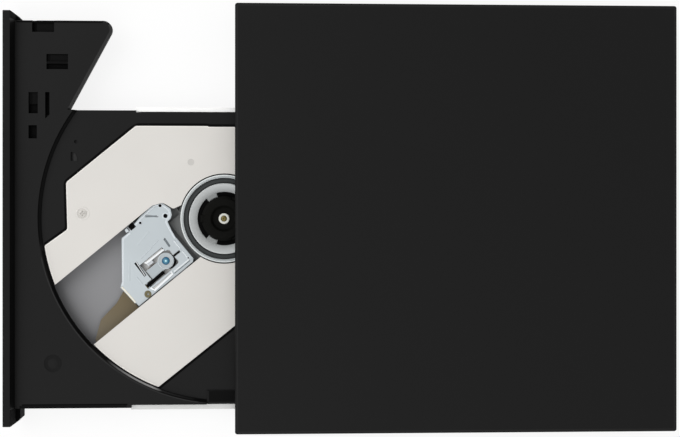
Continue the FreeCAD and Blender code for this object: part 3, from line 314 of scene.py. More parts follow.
def joined(shapes):
    """Several shapes as one: their points one after another and their faces renumbered."""
    points, faces, start = [], [], 0
    for some_points, some_faces in shapes:
        points.append(np.asarray(some_points).reshape(-1, 3))
        faces += [[i + start for i in face] for face in some_faces]
        start += len(points[-1])
    return np.vstack(points), faces


def piece(name, shapes, finish, body=None, replaces=()):
    """A mesh object from closed shapes: doubles merged, faces turned outwards, smooth up to the crease
    angle. Its slot has the finish's name."""
    points, faces = joined(shapes)
    mesh = bpy.data.meshes.new(name)
    mesh.from_pydata(points.tolist(), [], faces)
    work = bmesh.new()
    work.from_mesh(mesh)
    bmesh.ops.remove_doubles(work, verts=work.verts, dist=2e-6)
    bmesh.ops.dissolve_degenerate(work, edges=work.edges, dist=1e-7)
    bmesh.ops.recalc_face_normals(work, faces=work.faces)
    work.to_mesh(mesh)
    work.free()
    mesh.shade_smooth()
    mesh.set_sharp_from_angle(angle=math.radians(CREASE_ANGLE))
    obj = bpy.data.objects.new(name, mesh)
    bpy.context.scene.collection.objects.link(obj)
    mesh.materials.append(MATERIALS[finish])
    if body:
        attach(obj, body)
    if replaces:
        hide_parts(*replaces)
    return obj


def turned(name, profile, finish, body, slot=None, replaces=(), centre=SPINDLE, steps=64):
    """A piece of one lathe-turned shape."""
    return piece(name, [lathe(profile, centre, steps)], finish, body, replaces)


# Finishes

MATERIALS = {}
# the right rail gets a darker tone: painted shadow
OWN_FINISH = {"bezel": "bezel_plastic", "rail_right": "rail_painted_shadow"}
WHITE = 255


def linear(colour):
    """Screen colour of 0 to 255, or one such number for a grey, to linear light."""
    c = np.ones(3) * colour / 255
    c = np.where(c <= 0.04045, c / 12.92, ((c + 0.055) / 1.055) ** 2.4)
    return (*c.tolist(), 1.0)


def shade_of(share):
    """Screen grey whose linear value is a share of white."""
    return WHITE * (1.055 * share ** (1 / 2.4) - 0.055)


class Finish:
    """A node material kept under its name: one shader, and helpers that chain nodes to its sockets."""

    def __init__(self, name, rough=0.5, metal=0.0, specular=0.5):
        self.material = bpy.data.materials.new(name)
        self.material.use_nodes = True
        MATERIALS[name] = self.material
        self.tree = self.material.node_tree
        self.shader = self.tree.nodes["Principled BSDF"]
        self.shader.inputs["Roughness"].default_value = rough
        self.shader.inputs["Metallic"].default_value = metal
        self.shader.inputs["Specular IOR Level"].default_value = specular
        self.coords = self.node("ShaderNodeTexCoord").outputs["Object"]

    def node(self, kind, **values):
        made = self.tree.nodes.new(kind)
        for key, value in values.items():
            if key in made.inputs:
                made.inputs[key].default_value = value
            else:
                setattr(made, key, value)
        return made

    def link(self, source, target):
        self.tree.links.new(source, target)
        return target.node

    def mapped(self, scale=(1, 1, 1), centre=(0, 0, 0), turn=0.0):
        """Object coordinates moved to a centre in drawing millimetres, turned about z and stretched."""
        shift = self.node("ShaderNodeVectorMath", operation="SUBTRACT")
        shift.inputs[1].default_value = tuple(place(*centre)) if any(centre) else (0, 0, 0)
        self.link(self.coords, shift.inputs[0])
        spin = self.node("ShaderNodeMapping")
        spin.inputs["Rotation"].default_value = (0, 0, turn)
        self.link(shift.outputs[0], spin.inputs["Vector"])
        stretch = self.node("ShaderNodeMapping")
        stretch.inputs["Scale"].default_value = scale
        self.link(spin.outputs[0], stretch.inputs["Vector"])
        return stretch.outputs[0]

    def noise(self, where, scale, detail=3.0, rough=0.55):
        made = self.node("ShaderNodeTexNoise", Scale=scale, Detail=detail, Roughness=rough)
        self.link(where, made.inputs["Vector"])
        return made.outputs["Fac"]

    def waves(self, where, pitch, kind, axis):
        """Repeating stripes or rings, one every pitch millimetres."""
        made = self.node("ShaderNodeTexWave", wave_type=kind, Scale=TAU / (20 * pitch * MM))
        setattr(made, kind.lower() + "_direction", axis)
        self.link(where, made.inputs["Vector"])
        return made.outputs["Fac"]

    def ramp(self, factor, stops):
        """Colours along a factor, given as place and colour pairs."""
        made = self.node("ShaderNodeValToRGB")
        band = made.color_ramp
        while len(band.elements) < len(stops):
            band.elements.new(0.5)
        for element, (at, colour) in zip(band.elements, stops):
            element.position = at
            element.color = linear(colour)
        self.link(factor, made.inputs["Fac"])
        return made.outputs["Color"]

    def between(self, factor, low, high, from_low=0.3, from_high=0.7):
        made = self.node("ShaderNodeMapRange")
        limits = {"From Min": from_low, "From Max": from_high, "To Min": low, "To Max": high}
        for key, value in limits.items():
            made.inputs[key].default_value = value
        self.link(factor, made.inputs["Value"])
        return made.outputs["Result"]

    def multiplied(self, colour, by):
        made = self.node("ShaderNodeMix", data_type="RGBA", blend_type="MULTIPLY")
        made.inputs[0].default_value = 1.0
        self.link(colour, made.inputs[6])
        self.link(by, made.inputs[7])
        return made.outputs[2]

    def tint(self, colour):
        self.link(colour, self.shader.inputs["Base Color"])

    def roughness(self, value):
        self.link(value, self.shader.inputs["Roughness"])

    def bump(self, height, strength, depth):
        """Relief of a height, its depth in millimetres."""
        made = self.node("ShaderNodeBump", Strength=strength, Distance=depth * MM)
        self.link(height, made.inputs["Height"])
        self.link(made.outputs[0], self.shader.inputs["Normal"])

    def across(self, where, axis):
        """One coordinate of a vector: 0, 1 or 2."""
        made = self.node("ShaderNodeSeparateXYZ")
        self.link(where, made.inputs[0])
        return made.outputs[axis]

    def distance(self, where):
        """Level distance from the upright axis through the origin of the coordinates."""
        flat = self.node("ShaderNodeVectorMath", operation="MULTIPLY")
        flat.inputs[1].default_value = (1, 1, 0)
        self.link(where, flat.inputs[0])
        made = self.node("ShaderNodeVectorMath", operation="LENGTH")
        self.link(flat.outputs[0], made.inputs[0])
        return made.outputs["Value"]


def moulded(name, dark, light, rough, specular, grain=MOULD_GRAIN, depth=0.02, recess_shade=None):
    """Moulded plastic: two close tones in a slow noise, and the fine spark-eroded grain of the mould. Between
    two heights, given with a share, the tone drops to that share: painted shade in recesses."""
    f = Finish(name, specular=specular)
    cloud = f.noise(f.coords, 22.0)
    tone = f.ramp(cloud, [(0.3, dark), (0.7, light)])
    # painted shade: the tone drops between two heights
    if recess_shade:
        low, high, share = recess_shade
        height = f.between(f.across(f.coords, 2), 0.0, 1.0, low * MM, high * MM)
        band = f.ramp(height, [(0.0, WHITE), (0.08, shade_of(share)), (0.92, shade_of(share)), (1.0, WHITE)])
        tone = f.multiplied(tone, band)
    f.tint(tone)
    f.roughness(f.between(cloud, *rough))
    f.bump(f.noise(f.coords, grain, 2.0), 0.35, depth)


def painted_along_x(name, low, high, stops):
    """Moulded plastic with painted light and shade: its tone changes along x between two places, as on a wall
    that turns to the light.
    """
    f = Finish(name, rough=0.5, specular=0.04)
    along = f.between(f.across(f.coords, 0), 0.0, 1.0, (low + FRONT_SHIFT) * MM, (high + FRONT_SHIFT) * MM)
    f.tint(f.ramp(along, stops))
    f.bump(f.noise(f.coords, MOULD_GRAIN, 2.0), 0.3, 0.02)


def metal(name, dark, light, rough=(0.3, 0.42), stretch=(1, 1, 1), grain=900.0, depth=0.006):
    """Rolled or ground metal: a stretched noise gives streaks in tone, roughness and height."""
    f = Finish(name, metal=1.0)
    streaks = f.noise(f.mapped(stretch), grain, 4.0, 0.6)
    f.tint(f.ramp(streaks, [(0.3, dark), (0.7, light)]))
    f.roughness(f.between(streaks, *rough))
    f.bump(streaks, 0.4, depth)


def painted(name, dark, light, rough=(0.38, 0.48), metallic=0.0):
    """Painted sheet: a pale coat with a faint orange-peel and very slow changes of tone."""
    f = Finish(name, metal=metallic, specular=0.4)
    cloud = f.noise(f.coords, 30.0, 2.0)
    f.tint(f.ramp(cloud, [(0.3, dark), (0.7, light)]))
    f.roughness(f.between(cloud, *rough))
    f.bump(f.noise(f.coords, 1400.0, 2.0), 0.2, 0.012)


def ringed_rubber(name, edge, middle):
    """Rubber ring about the spindle: dark at its two edges and paler along its middle."""
    f = Finish(name, rough=0.6, specular=0.15)
    reach = f.distance(f.mapped(centre=(*SPINDLE, 10.0)))
    band = f.between(reach, 0.0, 1.0, SEAT_INNER * MM, SEAT_OUTER * MM)
    stops = [(0.0, edge), (0.16, edge), (0.3, middle), (0.68, middle), (0.84, edge), (1.0, edge)]
    f.tint(f.ramp(band, stops))
    f.bump(f.noise(f.coords, 1500.0, 2.0), 0.3, 0.02)


def turned_metal(name, dark, light, pitch):
    """Lathe-turned metal: rings about the spindle in tone and height, one every pitch millimetres. The land
    is conical, and its tone falls towards the hub as painted shade."""
    f = Finish(name, rough=0.34, metal=1.0)
    where = f.mapped(centre=(*SPINDLE, 10.0))
    rings = f.waves(where, pitch, "RINGS", "Z")
    fall = f.between(f.distance(where), 0.0, 1.0, 0.0085, 0.0112)
    # painted shade: darker towards the hub
    hub_shade = f.ramp(fall, [(0.0, shade_of(0.52)), (0.6, shade_of(0.84)), (1.0, WHITE)])
    f.tint(f.multiplied(f.ramp(rings, [(0.0, dark), (1.0, light)]), hub_shade))
    f.bump(rings, 0.5, 0.01)


def slot_sheet(name):
    """Steel sheet under the tray, with long faint rolling marks; its grey is painted light and shade by the
    distance from the spindle.
    """
    f = Finish(name, rough=0.55, specular=0.35)
    where = f.mapped(centre=(*SPINDLE, 3.0))
    # painted light and shade: grey set by the distance from the spindle
    near = f.between(f.distance(where), 0.0, 1.0, 0.014, 0.062)
    f.tint(f.ramp(near, [(0.0, (112, 114, 113)), (0.45, (141, 141, 143)), (1.0, (129, 129, 131))]))
    f.bump(f.noise(f.mapped((1, 14, 1)), 260.0, 3.0), 0.25, 0.02)


def board_face(name):
    """Circuit board: green lacquer over copper runs, drawn by a brick pattern and broken by noise."""
    f = Finish(name, rough=0.3, specular=0.5)
    runs = f.node("ShaderNodeTexBrick", Scale=230.0)
    runs.inputs["Mortar Size"].default_value = 0.02
    runs.inputs["Color1"].default_value = linear((18, 74, 44))
    runs.inputs["Color2"].default_value = linear((22, 86, 50))
    runs.inputs["Mortar"].default_value = linear((60, 128, 78))
    f.link(f.coords, runs.inputs["Vector"])
    f.tint(runs.outputs["Color"])
    f.bump(f.noise(f.coords, 900.0), 0.3, 0.02)


def striped(name, ground, line, pitch, axis, rough=0.35, metallic=0.0):
    """Film with parallel conductors: a wave across the film tints and lifts each line."""
    f = Finish(name, rough=rough, metal=metallic, specular=0.4)
    lines = f.waves(f.mapped(), pitch, "BANDS", axis)
    f.tint(f.ramp(lines, [(0.35, ground), (0.65, line)]))
    f.bump(lines, 0.4, 0.02)


def flex_film(name, near_end, far_end):
    """Brown flexible circuit whose colour fades outwards along the slot, with copper runs."""
    f = Finish(name, rough=0.4, specular=0.4)
    where = f.mapped(centre=(*SPINDLE, 5.0))
    out = f.between(f.distance(where), 0.0, 1.0, 0.040, 0.060)
    f.tint(f.ramp(out, [(0.0, near_end), (0.5, (near_end + far_end) / 2), (1.0, far_end)]))
    f.bump(f.waves(f.mapped(turn=-SLED_TURN), 0.5, "BANDS", "Y"), 0.3, 0.02)


def coated_lens(name, middle, edge):
    """Coated lens: a painted highlight of pale cyan in the middle, and a blue that deepens outwards over a
    very smooth clear surface.
    """
    f = Finish(name, rough=0.05, specular=0.35)
    where = f.mapped(centre=(*LENS_AT, 8.5))
    out = f.between(f.distance(where), 0.0, 1.0, 0.0, 0.0013)
    half = (middle + 2 * edge) / 3
    f.tint(f.ramp(out, [(0.0, middle), (0.12, middle), (0.34, half), (0.7, 1.25 * edge), (1.0, edge)]))
    f.shader.inputs["Coat Weight"].default_value = 0.15
    f.bump(f.noise(f.coords, 500.0), 0.02, 0.005)


# Settings

def length(label, text, value, low, high):
    """A size in metres, shown in the scene's own unit."""
    return FloatProperty(name=label, description=text, default=value, min=low, max=high,
                         unit="LENGTH", precision=5)


def colour(label, text, value):
    return FloatVectorProperty(name=label, description=text, default=linear(value)[:3],
                               subtype="COLOR", size=3, min=0.0, max=1.0)


class DriveSizes(bpy.types.PropertyGroup):
    spring_turns: FloatProperty(name="Spring turns", description="Turns of the ejector's spring",
                                default=16.0, min=4.0, max=40.0)
    coil_count: IntProperty(name="Stator coils", description="Wound teeth under the turntable",
                            default=9, min=3, max=24)
    wire_radius: length("Suspension wire", "Radius of the lens holder's wires", 0.00006, 0.00002, 0.0002)
    seat_height: length("Seat ring height", "Top of the rubber ring above the table", 0.0100, 0.0097, 0.0102)
    camera_height: length("Camera height", "Camera above the table", 0.397, 0.1, 2.0)
    camera_lens: FloatProperty(name="Lens", description="Focal length of the camera", default=61.96,
                               min=20.0, max=200.0, subtype="DISTANCE_CAMERA")


class DriveColours(bpy.types.PropertyGroup):
    case_plastic: colour("Case", "Colour of the case's moulded plastic", 14)
    tray_plastic: colour("Tray", "Colour of the tray's moulded plastic", 15)
    deck_paint: colour("Deck plate", "Colour of the painted deck plate", (217, 214, 209))
    pickup_sheet: colour("Pickup cover", "Colour of the pickup's pressed cover", (192, 200, 204))
    backdrop: colour("Backdrop", "Colour of the floor and the sky", WHITE)


def screen(value):
    """Linear colour back to 0 to 255, so that a chosen colour can be shaded lighter or darker."""
    c = np.array(value, float)
    c = np.where(c <= 0.0031308, c * 12.92, 1.055 * c ** (1 / 2.4) - 0.055)
    return (c * 255).tolist()


def shade(value, by):
    return np.clip(np.multiply(screen(value), by), 0.0, WHITE)


def tones(base, low, high):
    """A darker and a lighter tone of one chosen colour."""
    return shade(base, low), shade(base, high)


class DRIVE_OT_finishes(bpy.types.Operator):
    """Makes every finish, and gives each solid piece the finish of its material slot or one of its own"""
    bl_idname = "drive.finishes"
    bl_label = "Finishes"

    def execute(self, context):
        chosen = context.scene.drive_colours
        self.case_and_tray(chosen.case_plastic, chosen.tray_plastic)
        self.small_plastics()
        self.paints(chosen.deck_paint, chosen.pickup_sheet)
        self.metals()
        self.circuits()
        for part in frame["record"]["subparts"]:
            held = frame["nodes"][part["node"]].data.materials
            held.clear()
            held.append(MATERIALS[OWN_FINISH.get(part["node"], part["material_slot"])])
        return {"FINISHED"}

    def case_and_tray(self, case, tray):
        satin, matt, dull = (0.42, 0.5), (0.5, 0.58), (0.5, 0.6)
        fine = dict(grain=3200.0, depth=0.012)
        moulded("case_plastic", *tones(case, 0.96, 1.05), matt, 0.12)
        # painted shade in the tray's recess and pockets, between 9.22 and 10.9 mm high
        moulded("tray_plastic", *tones(tray, 0.96, 1.05), satin, 0.11, **fine, recess_shade=(9.22, 10.9, 0.5))
        moulded("bezel_plastic", *tones(tray, 0.55, 0.65), satin, 0.1, **fine)
        # a paler tone of the tray plastic: painted light on the shaded rim wall and the dish wall
        moulded("rim_shade", *tones(tray, 1.35, 1.55), dull, 0.06)
        # painted light and shade along the lower rim wall: black, then a pale band, then dark
        fade = [(0.0, 7), (0.42, 8), (0.58, 150), (0.73, 156), (0.79, 44), (1.0, 30)]
        painted_along_x("rim_painted_light_and_shade", -63.0, -14.0, fade)
        # painted highlight of the case's rounded top edge
        moulded("case_highlight", *tones(case, 1.9, 2.2), matt, 0.12)
        moulded("pocket_shade", *tones(tray, 0.5, 0.7), (0.6, 0.7), 0.05)
        # paler tones of the tray plastic: painted highlights on the rim, the wing's edge and the hook
        moulded("tray_highlight", *tones(tray, 2.2, 2.5), (0.4, 0.5), 0.1)
        moulded("wing_highlight", *tones(tray, 3.6, 4.2), dull, 0.05)

    def small_plastics(self):
        matt, dull = (0.5, 0.6), (0.6, 0.7)
        moulded("rubber", 26, 31, (0.75, 0.85), 0.1, 1500.0, 0.03)
        ringed_rubber("seat_rubber", (24, 26, 26), (57, 60, 60))
        moulded("guide_plastic", 38, 46, matt, 0.2)
        moulded("socket_plastic", 22, 27, matt, 0.25)
        moulded("light_pipe", (150, 176, 150), (166, 190, 164), (0.2, 0.3), 0.5)
        moulded("hub_plastic", (14, 14, 13), (18, 18, 16), dull, 0.03)
        # near-black: the colour of black parts, and painted shade in gaps, holes and pockets
        moulded("black_and_painted_shade", 5, 9, dull, 0.03)
        moulded("holder_plastic", (172, 180, 184), (188, 195, 198), (0.45, 0.55), 0.3)
        moulded("bush_plastic", (205, 205, 198), (222, 222, 214), (0.4, 0.5), 0.35)
        # the lens's pale middle colour is a painted highlight
        coated_lens("lens_glass", np.array((196, 240, 248)), np.array((10, 76, 104)))

    def paints(self, deck, sheet):
        smooth = (0.3, 0.4)
        painted("deck_screw", (176, 173, 168), (194, 191, 186), smooth, 0.2)
        painted("deck_paint", *tones(deck, 0.975, 0.998))
        # painted highlight along the plate's edges
        painted("plate_highlight", *tones(deck, 1.06, 1.08))
        painted("plate_shade", *tones(deck, 0.88, 0.92))
        painted("pickup_sheet", *tones(sheet, 0.95, 0.995), (0.32, 0.42))
        # paler and darker tones of the cover's sheet: painted highlights on raised beads, painted shade in
        # grooves
        painted("pickup_edge", (204, 212, 217), (218, 224, 228), smooth)
        painted("pickup_glint", (236, 241, 244), (247, 249, 250), smooth)
        painted("pickup_shade", (96, 104, 108), (118, 126, 130), (0.4, 0.5))
        painted("pickup_lip", (224, 220, 204), (236, 232, 218), (0.35, 0.45))
        painted("cover_bush", (84, 78, 52), (104, 97, 68), (0.4, 0.5), 0.2)
        painted("rim_chrome", (214, 219, 219), (230, 234, 234), (0.2, 0.28), 0.3)
        painted("rim_grey", (158, 163, 164), (172, 177, 178), smooth, 0.3)

    def metals(self):
        rolled = dict(rough=(0.45, 0.55), stretch=(1, 12, 12), grain=220.0)
        metal("screw_steel", (92, 90, 88), (128, 126, 122), (0.32, 0.45), grain=700.0)
        slot_sheet("sheet_steel")
        metal("rail_steel", (207, 207, 206), (223, 223, 222), **rolled)
        metal("rail_painted_shadow", (172, 172, 171), (190, 190, 189), **rolled)
        metal("socket_steel", (184, 184, 182), (206, 206, 204), (0.25, 0.35), (1, 8, 8))
        metal("rod_steel", (196, 198, 200), (218, 219, 220), (0.15, 0.22), (14, 1, 1))
        metal("motor_steel", 150, (176, 176, 174), (0.35, 0.45))
        turned_metal("turntable_metal", (152, 154, 154), (176, 179, 179), pitch=0.28)
        metal("brass", (86, 78, 46), (116, 104, 64), (0.3, 0.4))
        metal("die_cast", (132, 135, 138), (160, 163, 166), (0.5, 0.6), grain=500.0, depth=0.03)
        metal("magnet_plating", (176, 180, 184), (208, 211, 214), (0.18, 0.28))
        metal("laser_metal", (150, 128, 78), (184, 160, 104), (0.25, 0.35))
        metal("spring_steel", (176, 176, 178), (204, 204, 206), (0.2, 0.3), (10, 1, 1))
        metal("contact_gold", (190, 158, 84), (220, 190, 116), (0.2, 0.3))

    def circuits(self):
        board_face("circuit_board")
        striped("ribbon_film", (196, 196, 190), (226, 226, 220), 0.5, "Y")
        flex_film("flex_film", np.array((98, 84, 54)), np.array((108, 98, 78)))
        striped("coil_enamel", (58, 46, 36), (104, 82, 62), 0.22, "Z", rough=0.4, metallic=0.4)
        striped("copper", (120, 62, 30), (196, 118, 66), 0.22, "Z", rough=0.3, metallic=1.0)


class DRIVE_OT_turntable(bpy.types.Operator):
    """Rubber seat ring, turned bush and shaft end, turntable's stepped rim, and the hub's well and crown"""
    bl_idname = "drive.turntable"
    bl_label = "Turntable"

    def execute(self, context):
        self.seat_ring(context.scene.drive_sizes.seat_height / MM)
        rim = [(14.02, 9.55), (14.36, 9.55), (14.46, 9.62), (14.46, 9.7), (14.36, 9.78), (14.1, 9.78),
               (14.02, 9.72)]
        step = [(13.44, 9.55), (14.0, 9.55), (14.0, 9.66), (13.94, 9.7), (13.56, 9.7), (13.46, 9.66)]
        land = [(8.9, 9.55), (11.62, 9.55), (11.64, 9.66), (11.5, 9.7), (11.2, 9.66), (9.3, 9.66),
                (8.95, 9.64)]
        for name, profile, finish in (("rim", rim, "rim_chrome"), ("step", step, "rim_grey"),
                                      ("land", land, "turntable_metal")):
            turned(f"turntable_{name}", profile, finish, "spindle", "turntable_metal", steps=FINE_STEPS)
        bush = [(1.0, 11.0), (1.75, 11.0), (1.75, 12.15), (1.6, 12.3), (1.15, 12.34), (1.0, 12.25)]
        turned("bush_ring", bush, "bush_plastic", "spindle", replaces=["hub_bush"])
        shaft = [(0, 4.4), (0.9, 4.4), (1.0, 4.5), (1.0, 12.2), (0.86, 12.32), (0.8, 12.44), (0.7, 12.5),
                 (0.32, 12.5), (0.18, 12.38), (0, 12.34)]
        turned("shaft_turned", shaft, "brass", "spindle", replaces=["spindle_shaft"])
        well = [(7.04, 9.0), (8.83, 9.0), (8.83, 9.1), (8.6, 9.16), (7.2, 9.16), (7.04, 9.1)]
        crown = [(3.7, 11.46), (4.3, 12.84), (4.5, 12.94), (6.2, 12.94), (6.42, 12.86), (6.5, 12.7),
                 (6.3, 12.6), (4.6, 12.6), (3.8, 11.3)]
        for name, profile, first, half, finish in (("hub_well", well, 60.0, 47.5, "black_and_painted_shade"),
                                                   ("hub_crown", crown, 0.0, 44.0, "hub_plastic")):
            thirds = [self.sector(profile, first + k * THIRD_OF_TURN, half) for k in range(3)]
            piece(name, thirds, finish, "spindle")
        return {"FINISHED"}

    def seat_ring(self, top):
        """Its crest: a quarter oval up, a half oval groove, and a quarter oval down."""
        foot = [(SEAT_INNER, TABLE_TOP), (SEAT_OUTER, TABLE_TOP)]
        outer = bow((13.1, top - 0.14), (0.3, 0.14), 0, 90, 5)
        groove = bow((12.55, top - 0.02), (0.28, -0.12))
        inner = bow((12.0, top - 0.14), (0.3, 0.14), 90, 180, 5)
        turned("seat_ring", foot + outer + groove + inner, "seat_rubber", "spindle",
               replaces=["turntable_rubber"], steps=FINE_STEPS)

    def sector(self, profile, middle, half):
        """A profile turned about the spindle over part of a circle, half degrees each side of the middle."""
        angle = np.radians(middle + np.linspace(-half, half, 40))[:, None]
        r, z = np.array(profile).T[:, None]
        return loft(place(SPINDLE[0] + r * np.cos(angle), SPINDLE[1] + r * np.sin(angle), z))


class DRIVE_OT_windings(bpy.types.Operator):
    """Copper windings round the stator's teeth and on the release solenoid"""
    bl_idname = "drive.windings"
    bl_label = "Windings"

    def execute(self, context):
        count = context.scene.drive_sizes.coil_count
        tooth = rounded(rectangle(-1.55, 1.55, 5.28, 8.12), 0.5, 4)
        loops = []
        for turn in TAU * np.arange(count) / count:
            c, s = math.cos(turn), math.sin(turn)
            for r in np.linspace(5.3, 9.3, 11):
                path = place(SPINDLE[0] + r * c - tooth[:, 0] * s, r * s + tooth[:, 0] * c, tooth[:, 1])
                loops.append(wire_loop(path, (c, s, 0.0), 0.2, 6))
        piece("stator_windings", loops, "copper", "tray")
        t = np.linspace(0, TAU, 32, endpoint=False)
        y, z = 49.2 + 2.05 * np.cos(t), 6.3 + 2.05 * np.sin(t)
        coil = [wire_loop(place(x, y, z), ALONG_X, 0.17, 6) for x in np.linspace(-55.6, -50.5, 16)]
        piece("solenoid_winding", coil, "copper", "tray")
        return {"FINISHED"}


class DRIVE_OT_pickup(bpy.types.Operator):
    """Raised border, ridges and lip of the pickup's cover, and the lens with its holder, coils and wires"""
    bl_idname = "drive.pickup"
    bl_label = "Pickup"

    def execute(self, context):
        self.cover()
        self.eyelets()
        self.ear()
        self.actuator()
        self.suspension(context.scene.drive_sizes.wire_radius / MM)
        self.lens()
        return {"FINISHED"}

    def cover(self):
        """The pressed cover: raised border, ribs given as two ends, width and height, and the outer lip."""
        border = [(16.75, 5.3), (16.1, 9.4), (15.6, 11.6), (13.9, 11.9), (13.1, 12.5), (12.3, 14.0),
                  (13.1, 16.6), (14.9, 18.0), (21.0, 17.55), (23.9, 16.95)]
        far = [(27.0, 16.0), (30.0, 16.0), (38.85, 5.2), (40.0, 4.2)]
        edges = [self.rib(rounded(line, 0.7, 6, closed=False), 0.6, 0.12) for line in (border, far)]
        # the border's paler tone is a painted highlight
        self.on_cover("cover_border", edges, "pickup_edge")
        # glint ribs are painted highlights; slot ribs are painted shade in grooves
        for name, finish, ribs in (
                ("glints", "pickup_glint", [((17.7, -3.0), (23.9, -3.0), 0.4, 0.16),
                                            ((16.68, -3.4), (16.68, 5.0), 0.3, 0.14),
                                            ((17.6, -2.4), (17.6, 0.5), 0.3, 0.14),
                                            ((17.6, 1.7), (17.6, 5.0), 0.3, 0.14)]),
                ("ridges", "pickup_sheet", [((21.5, 8.4), (29.8, 7.2), 0.5, 0.1),
                                            ((33.4, 8.6), (37.2, 4.0), 0.5, 0.1),
                                            ((34.6, 3.4), (34.6, 0.6), 0.5, 0.1),
                                            ((22.0, 12.6), (27.5, 11.4), 0.9, 0.06)]),
                ("slots", "pickup_shade", [((17.15, -2.9), (17.15, 4.9), 0.3, 0.05),
                                           ((17.6, -3.45), (24.3, -3.5), 0.3, 0.05),
                                           ((19.57, 7.3), (19.84, 4.5), 0.75, 0.06),
                                           ((19.76, 17.0), (16.7, 14.8), 0.5, 0.06)])):
            shapes = [self.rib((start, end), width, height) for start, end, width, height in ribs]
            self.on_cover(f"cover_{name}", shapes, finish)
        lip = np.array([(40.5, 4.0), (40.3, 0.5), (40.25, -2.8)])
        section = [(-0.3, -1.3), (0.22, -1.3), (0.3, -0.1), (0.2, 0.12), (-0.2, 0.14), (-0.34, 0.04)]
        edge = sweep(on_sled(*lip.T, COVER_TOP), np.array(section) * MM)
        self.on_cover("cover_lip", [edge], "pickup_lip")

    def on_cover(self, name, shapes, finish, replaces=(), slot="pickup_sheet"):
        piece(name, shapes, finish, "pickup", replaces)

    def rib(self, line, width, height):
        """A rounded bead along a line on top of the cover."""
        return sweep(on_sled(*np.array(line, float).T, COVER_TOP), pressed_section(width, height))

    def eyelets(self):
        """Pressed rims round four holes, paler as a painted highlight, the holes' dark floors of painted
        shade, and the dimpled bush near the outer end. Each rim is a low half oval between the bore and the
        radius."""
        rings, holes = [], []
        foot = COVER_TOP - 0.03
        low, high = COVER_TOP - 0.02, COVER_TOP + 0.15
        for u, v, radius, bore in ((14.47, 13.04, 1.15, 0.68), (13.71, 16.78, 0.75, 0.5),
                                   (22.36, 16.5, 0.62, 0.4), (17.4, -2.4, 0.55, 0.3)):
            crest = bow(((radius + bore) / 2, COVER_TOP), ((radius - bore) / 2, 0.14))
            rings.append(lathe([(bore, foot), (radius, foot), *crest], spot(u, v), 40))
            holes.append(lathe([(0, low), (bore, low), (bore, high), (0, high)], spot(u, v), 32))
        self.on_cover("cover_eyelets", rings, "pickup_edge")
        self.on_cover("cover_holes", holes, "black_and_painted_shade")
        rises = [(0.3, 0), (1.15, 0), (1.15, 0.12), (1.0, 0.18), (0.55, 0.12), (0.3, 0.04)]
        bush = [(r, COVER_TOP + rise) for r, rise in rises]
        turned("cover_bush", bush, "cover_bush", "pickup", "pickup_sheet", centre=spot(35.35, -3.3), steps=48)

    def ear(self):
        """The black bearing block at the cover's ear, and the pale pad beside it."""
        block = rounded([(24.2, 16.55), (26.2, 16.5), (26.3, 18.1), (24.3, 18.5)], 0.2)
        self.on_cover("ear_block", [pad(block, 7.7, 8.45, 0.12, on_sled)], "black_and_painted_shade", ["carriage_bush"],
                      "socket_plastic")
        side = rounded([(26.95, 16.7), (28.0, 16.9), (27.85, 18.0), (26.9, 18.1)], 0.15)
        self.on_cover("ear_pad", [pad(side, 7.7, 8.4, 0.1, on_sled)], "pickup_edge")

    def actuator(self):
        """Pole bars and the blade of the stand, pale as painted highlights, and dark strips of painted shade
        in the gaps beside them.
        """
        low, top = 8.5, 8.72
        bars = [sled_bar([(22.1, 4.6), (22.3, 4.85), (29.2, 4.95), (29.5, 5.5)], 0.62, low, top),
                sled_bar([(24.8, -2.3), (24.75, -3.2), (32.8, -3.7), (33.3, -2.2)], 0.7, low, top)]
        piece("yoke_caps", bars, "pickup_glint", "pickup")
        blade = sled_bar([(31.6, 7.3), (32.2, 2.1)], 0.2, 8.2, 8.62, 0.04)
        piece("stand_blade", [blade], "pickup_glint", "pickup")
        gaps = [sled_bar(line, width, low, 8.3, 0.05) for line, width, low in
                (([(26.65, -0.9), (33.9, -1.1)], 1.15, 7.9), ([(31.9, 7.3), (32.55, 2.0)], 1.15, 7.9),
                 ([(18.46, 1.04), (20.8, 1.16)], 0.5, 8.0))]
        piece("focus_gap_shade", gaps, "black_and_painted_shade", "pickup")

    def suspension(self, wire):
        """The lens holder's four spring wires, and the focus coil below it."""
        wires = []
        for v in (-0.2, 2.8):
            for z in (6.8, 7.8):
                u, across = np.linspace((30.6, v * 0.85 + 0.2), (32.0, v + 0.6), 8).T
                wires.append(sweep(on_sled(u, across, z), round_section(wire, 8)))
        strands = piece("suspension_wires", wires, "spring_steel")
        on_sled(32.0, 1.5, 7.0).tolist()
        on_sled(30.6, 1.5, 7.0).tolist()
        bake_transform(strands)
        u, v = rounded(rectangle(27.2, 30.2, -0.75, 3.25), 0.6, 4).T
        coils = [sweep(on_sled(u, v, 6.2 + 0.2 * k), round_section(0.13, 6), closed=True) for k in range(5)]
        piece("focus_coil", coils, "coil_enamel", "lens_arm")

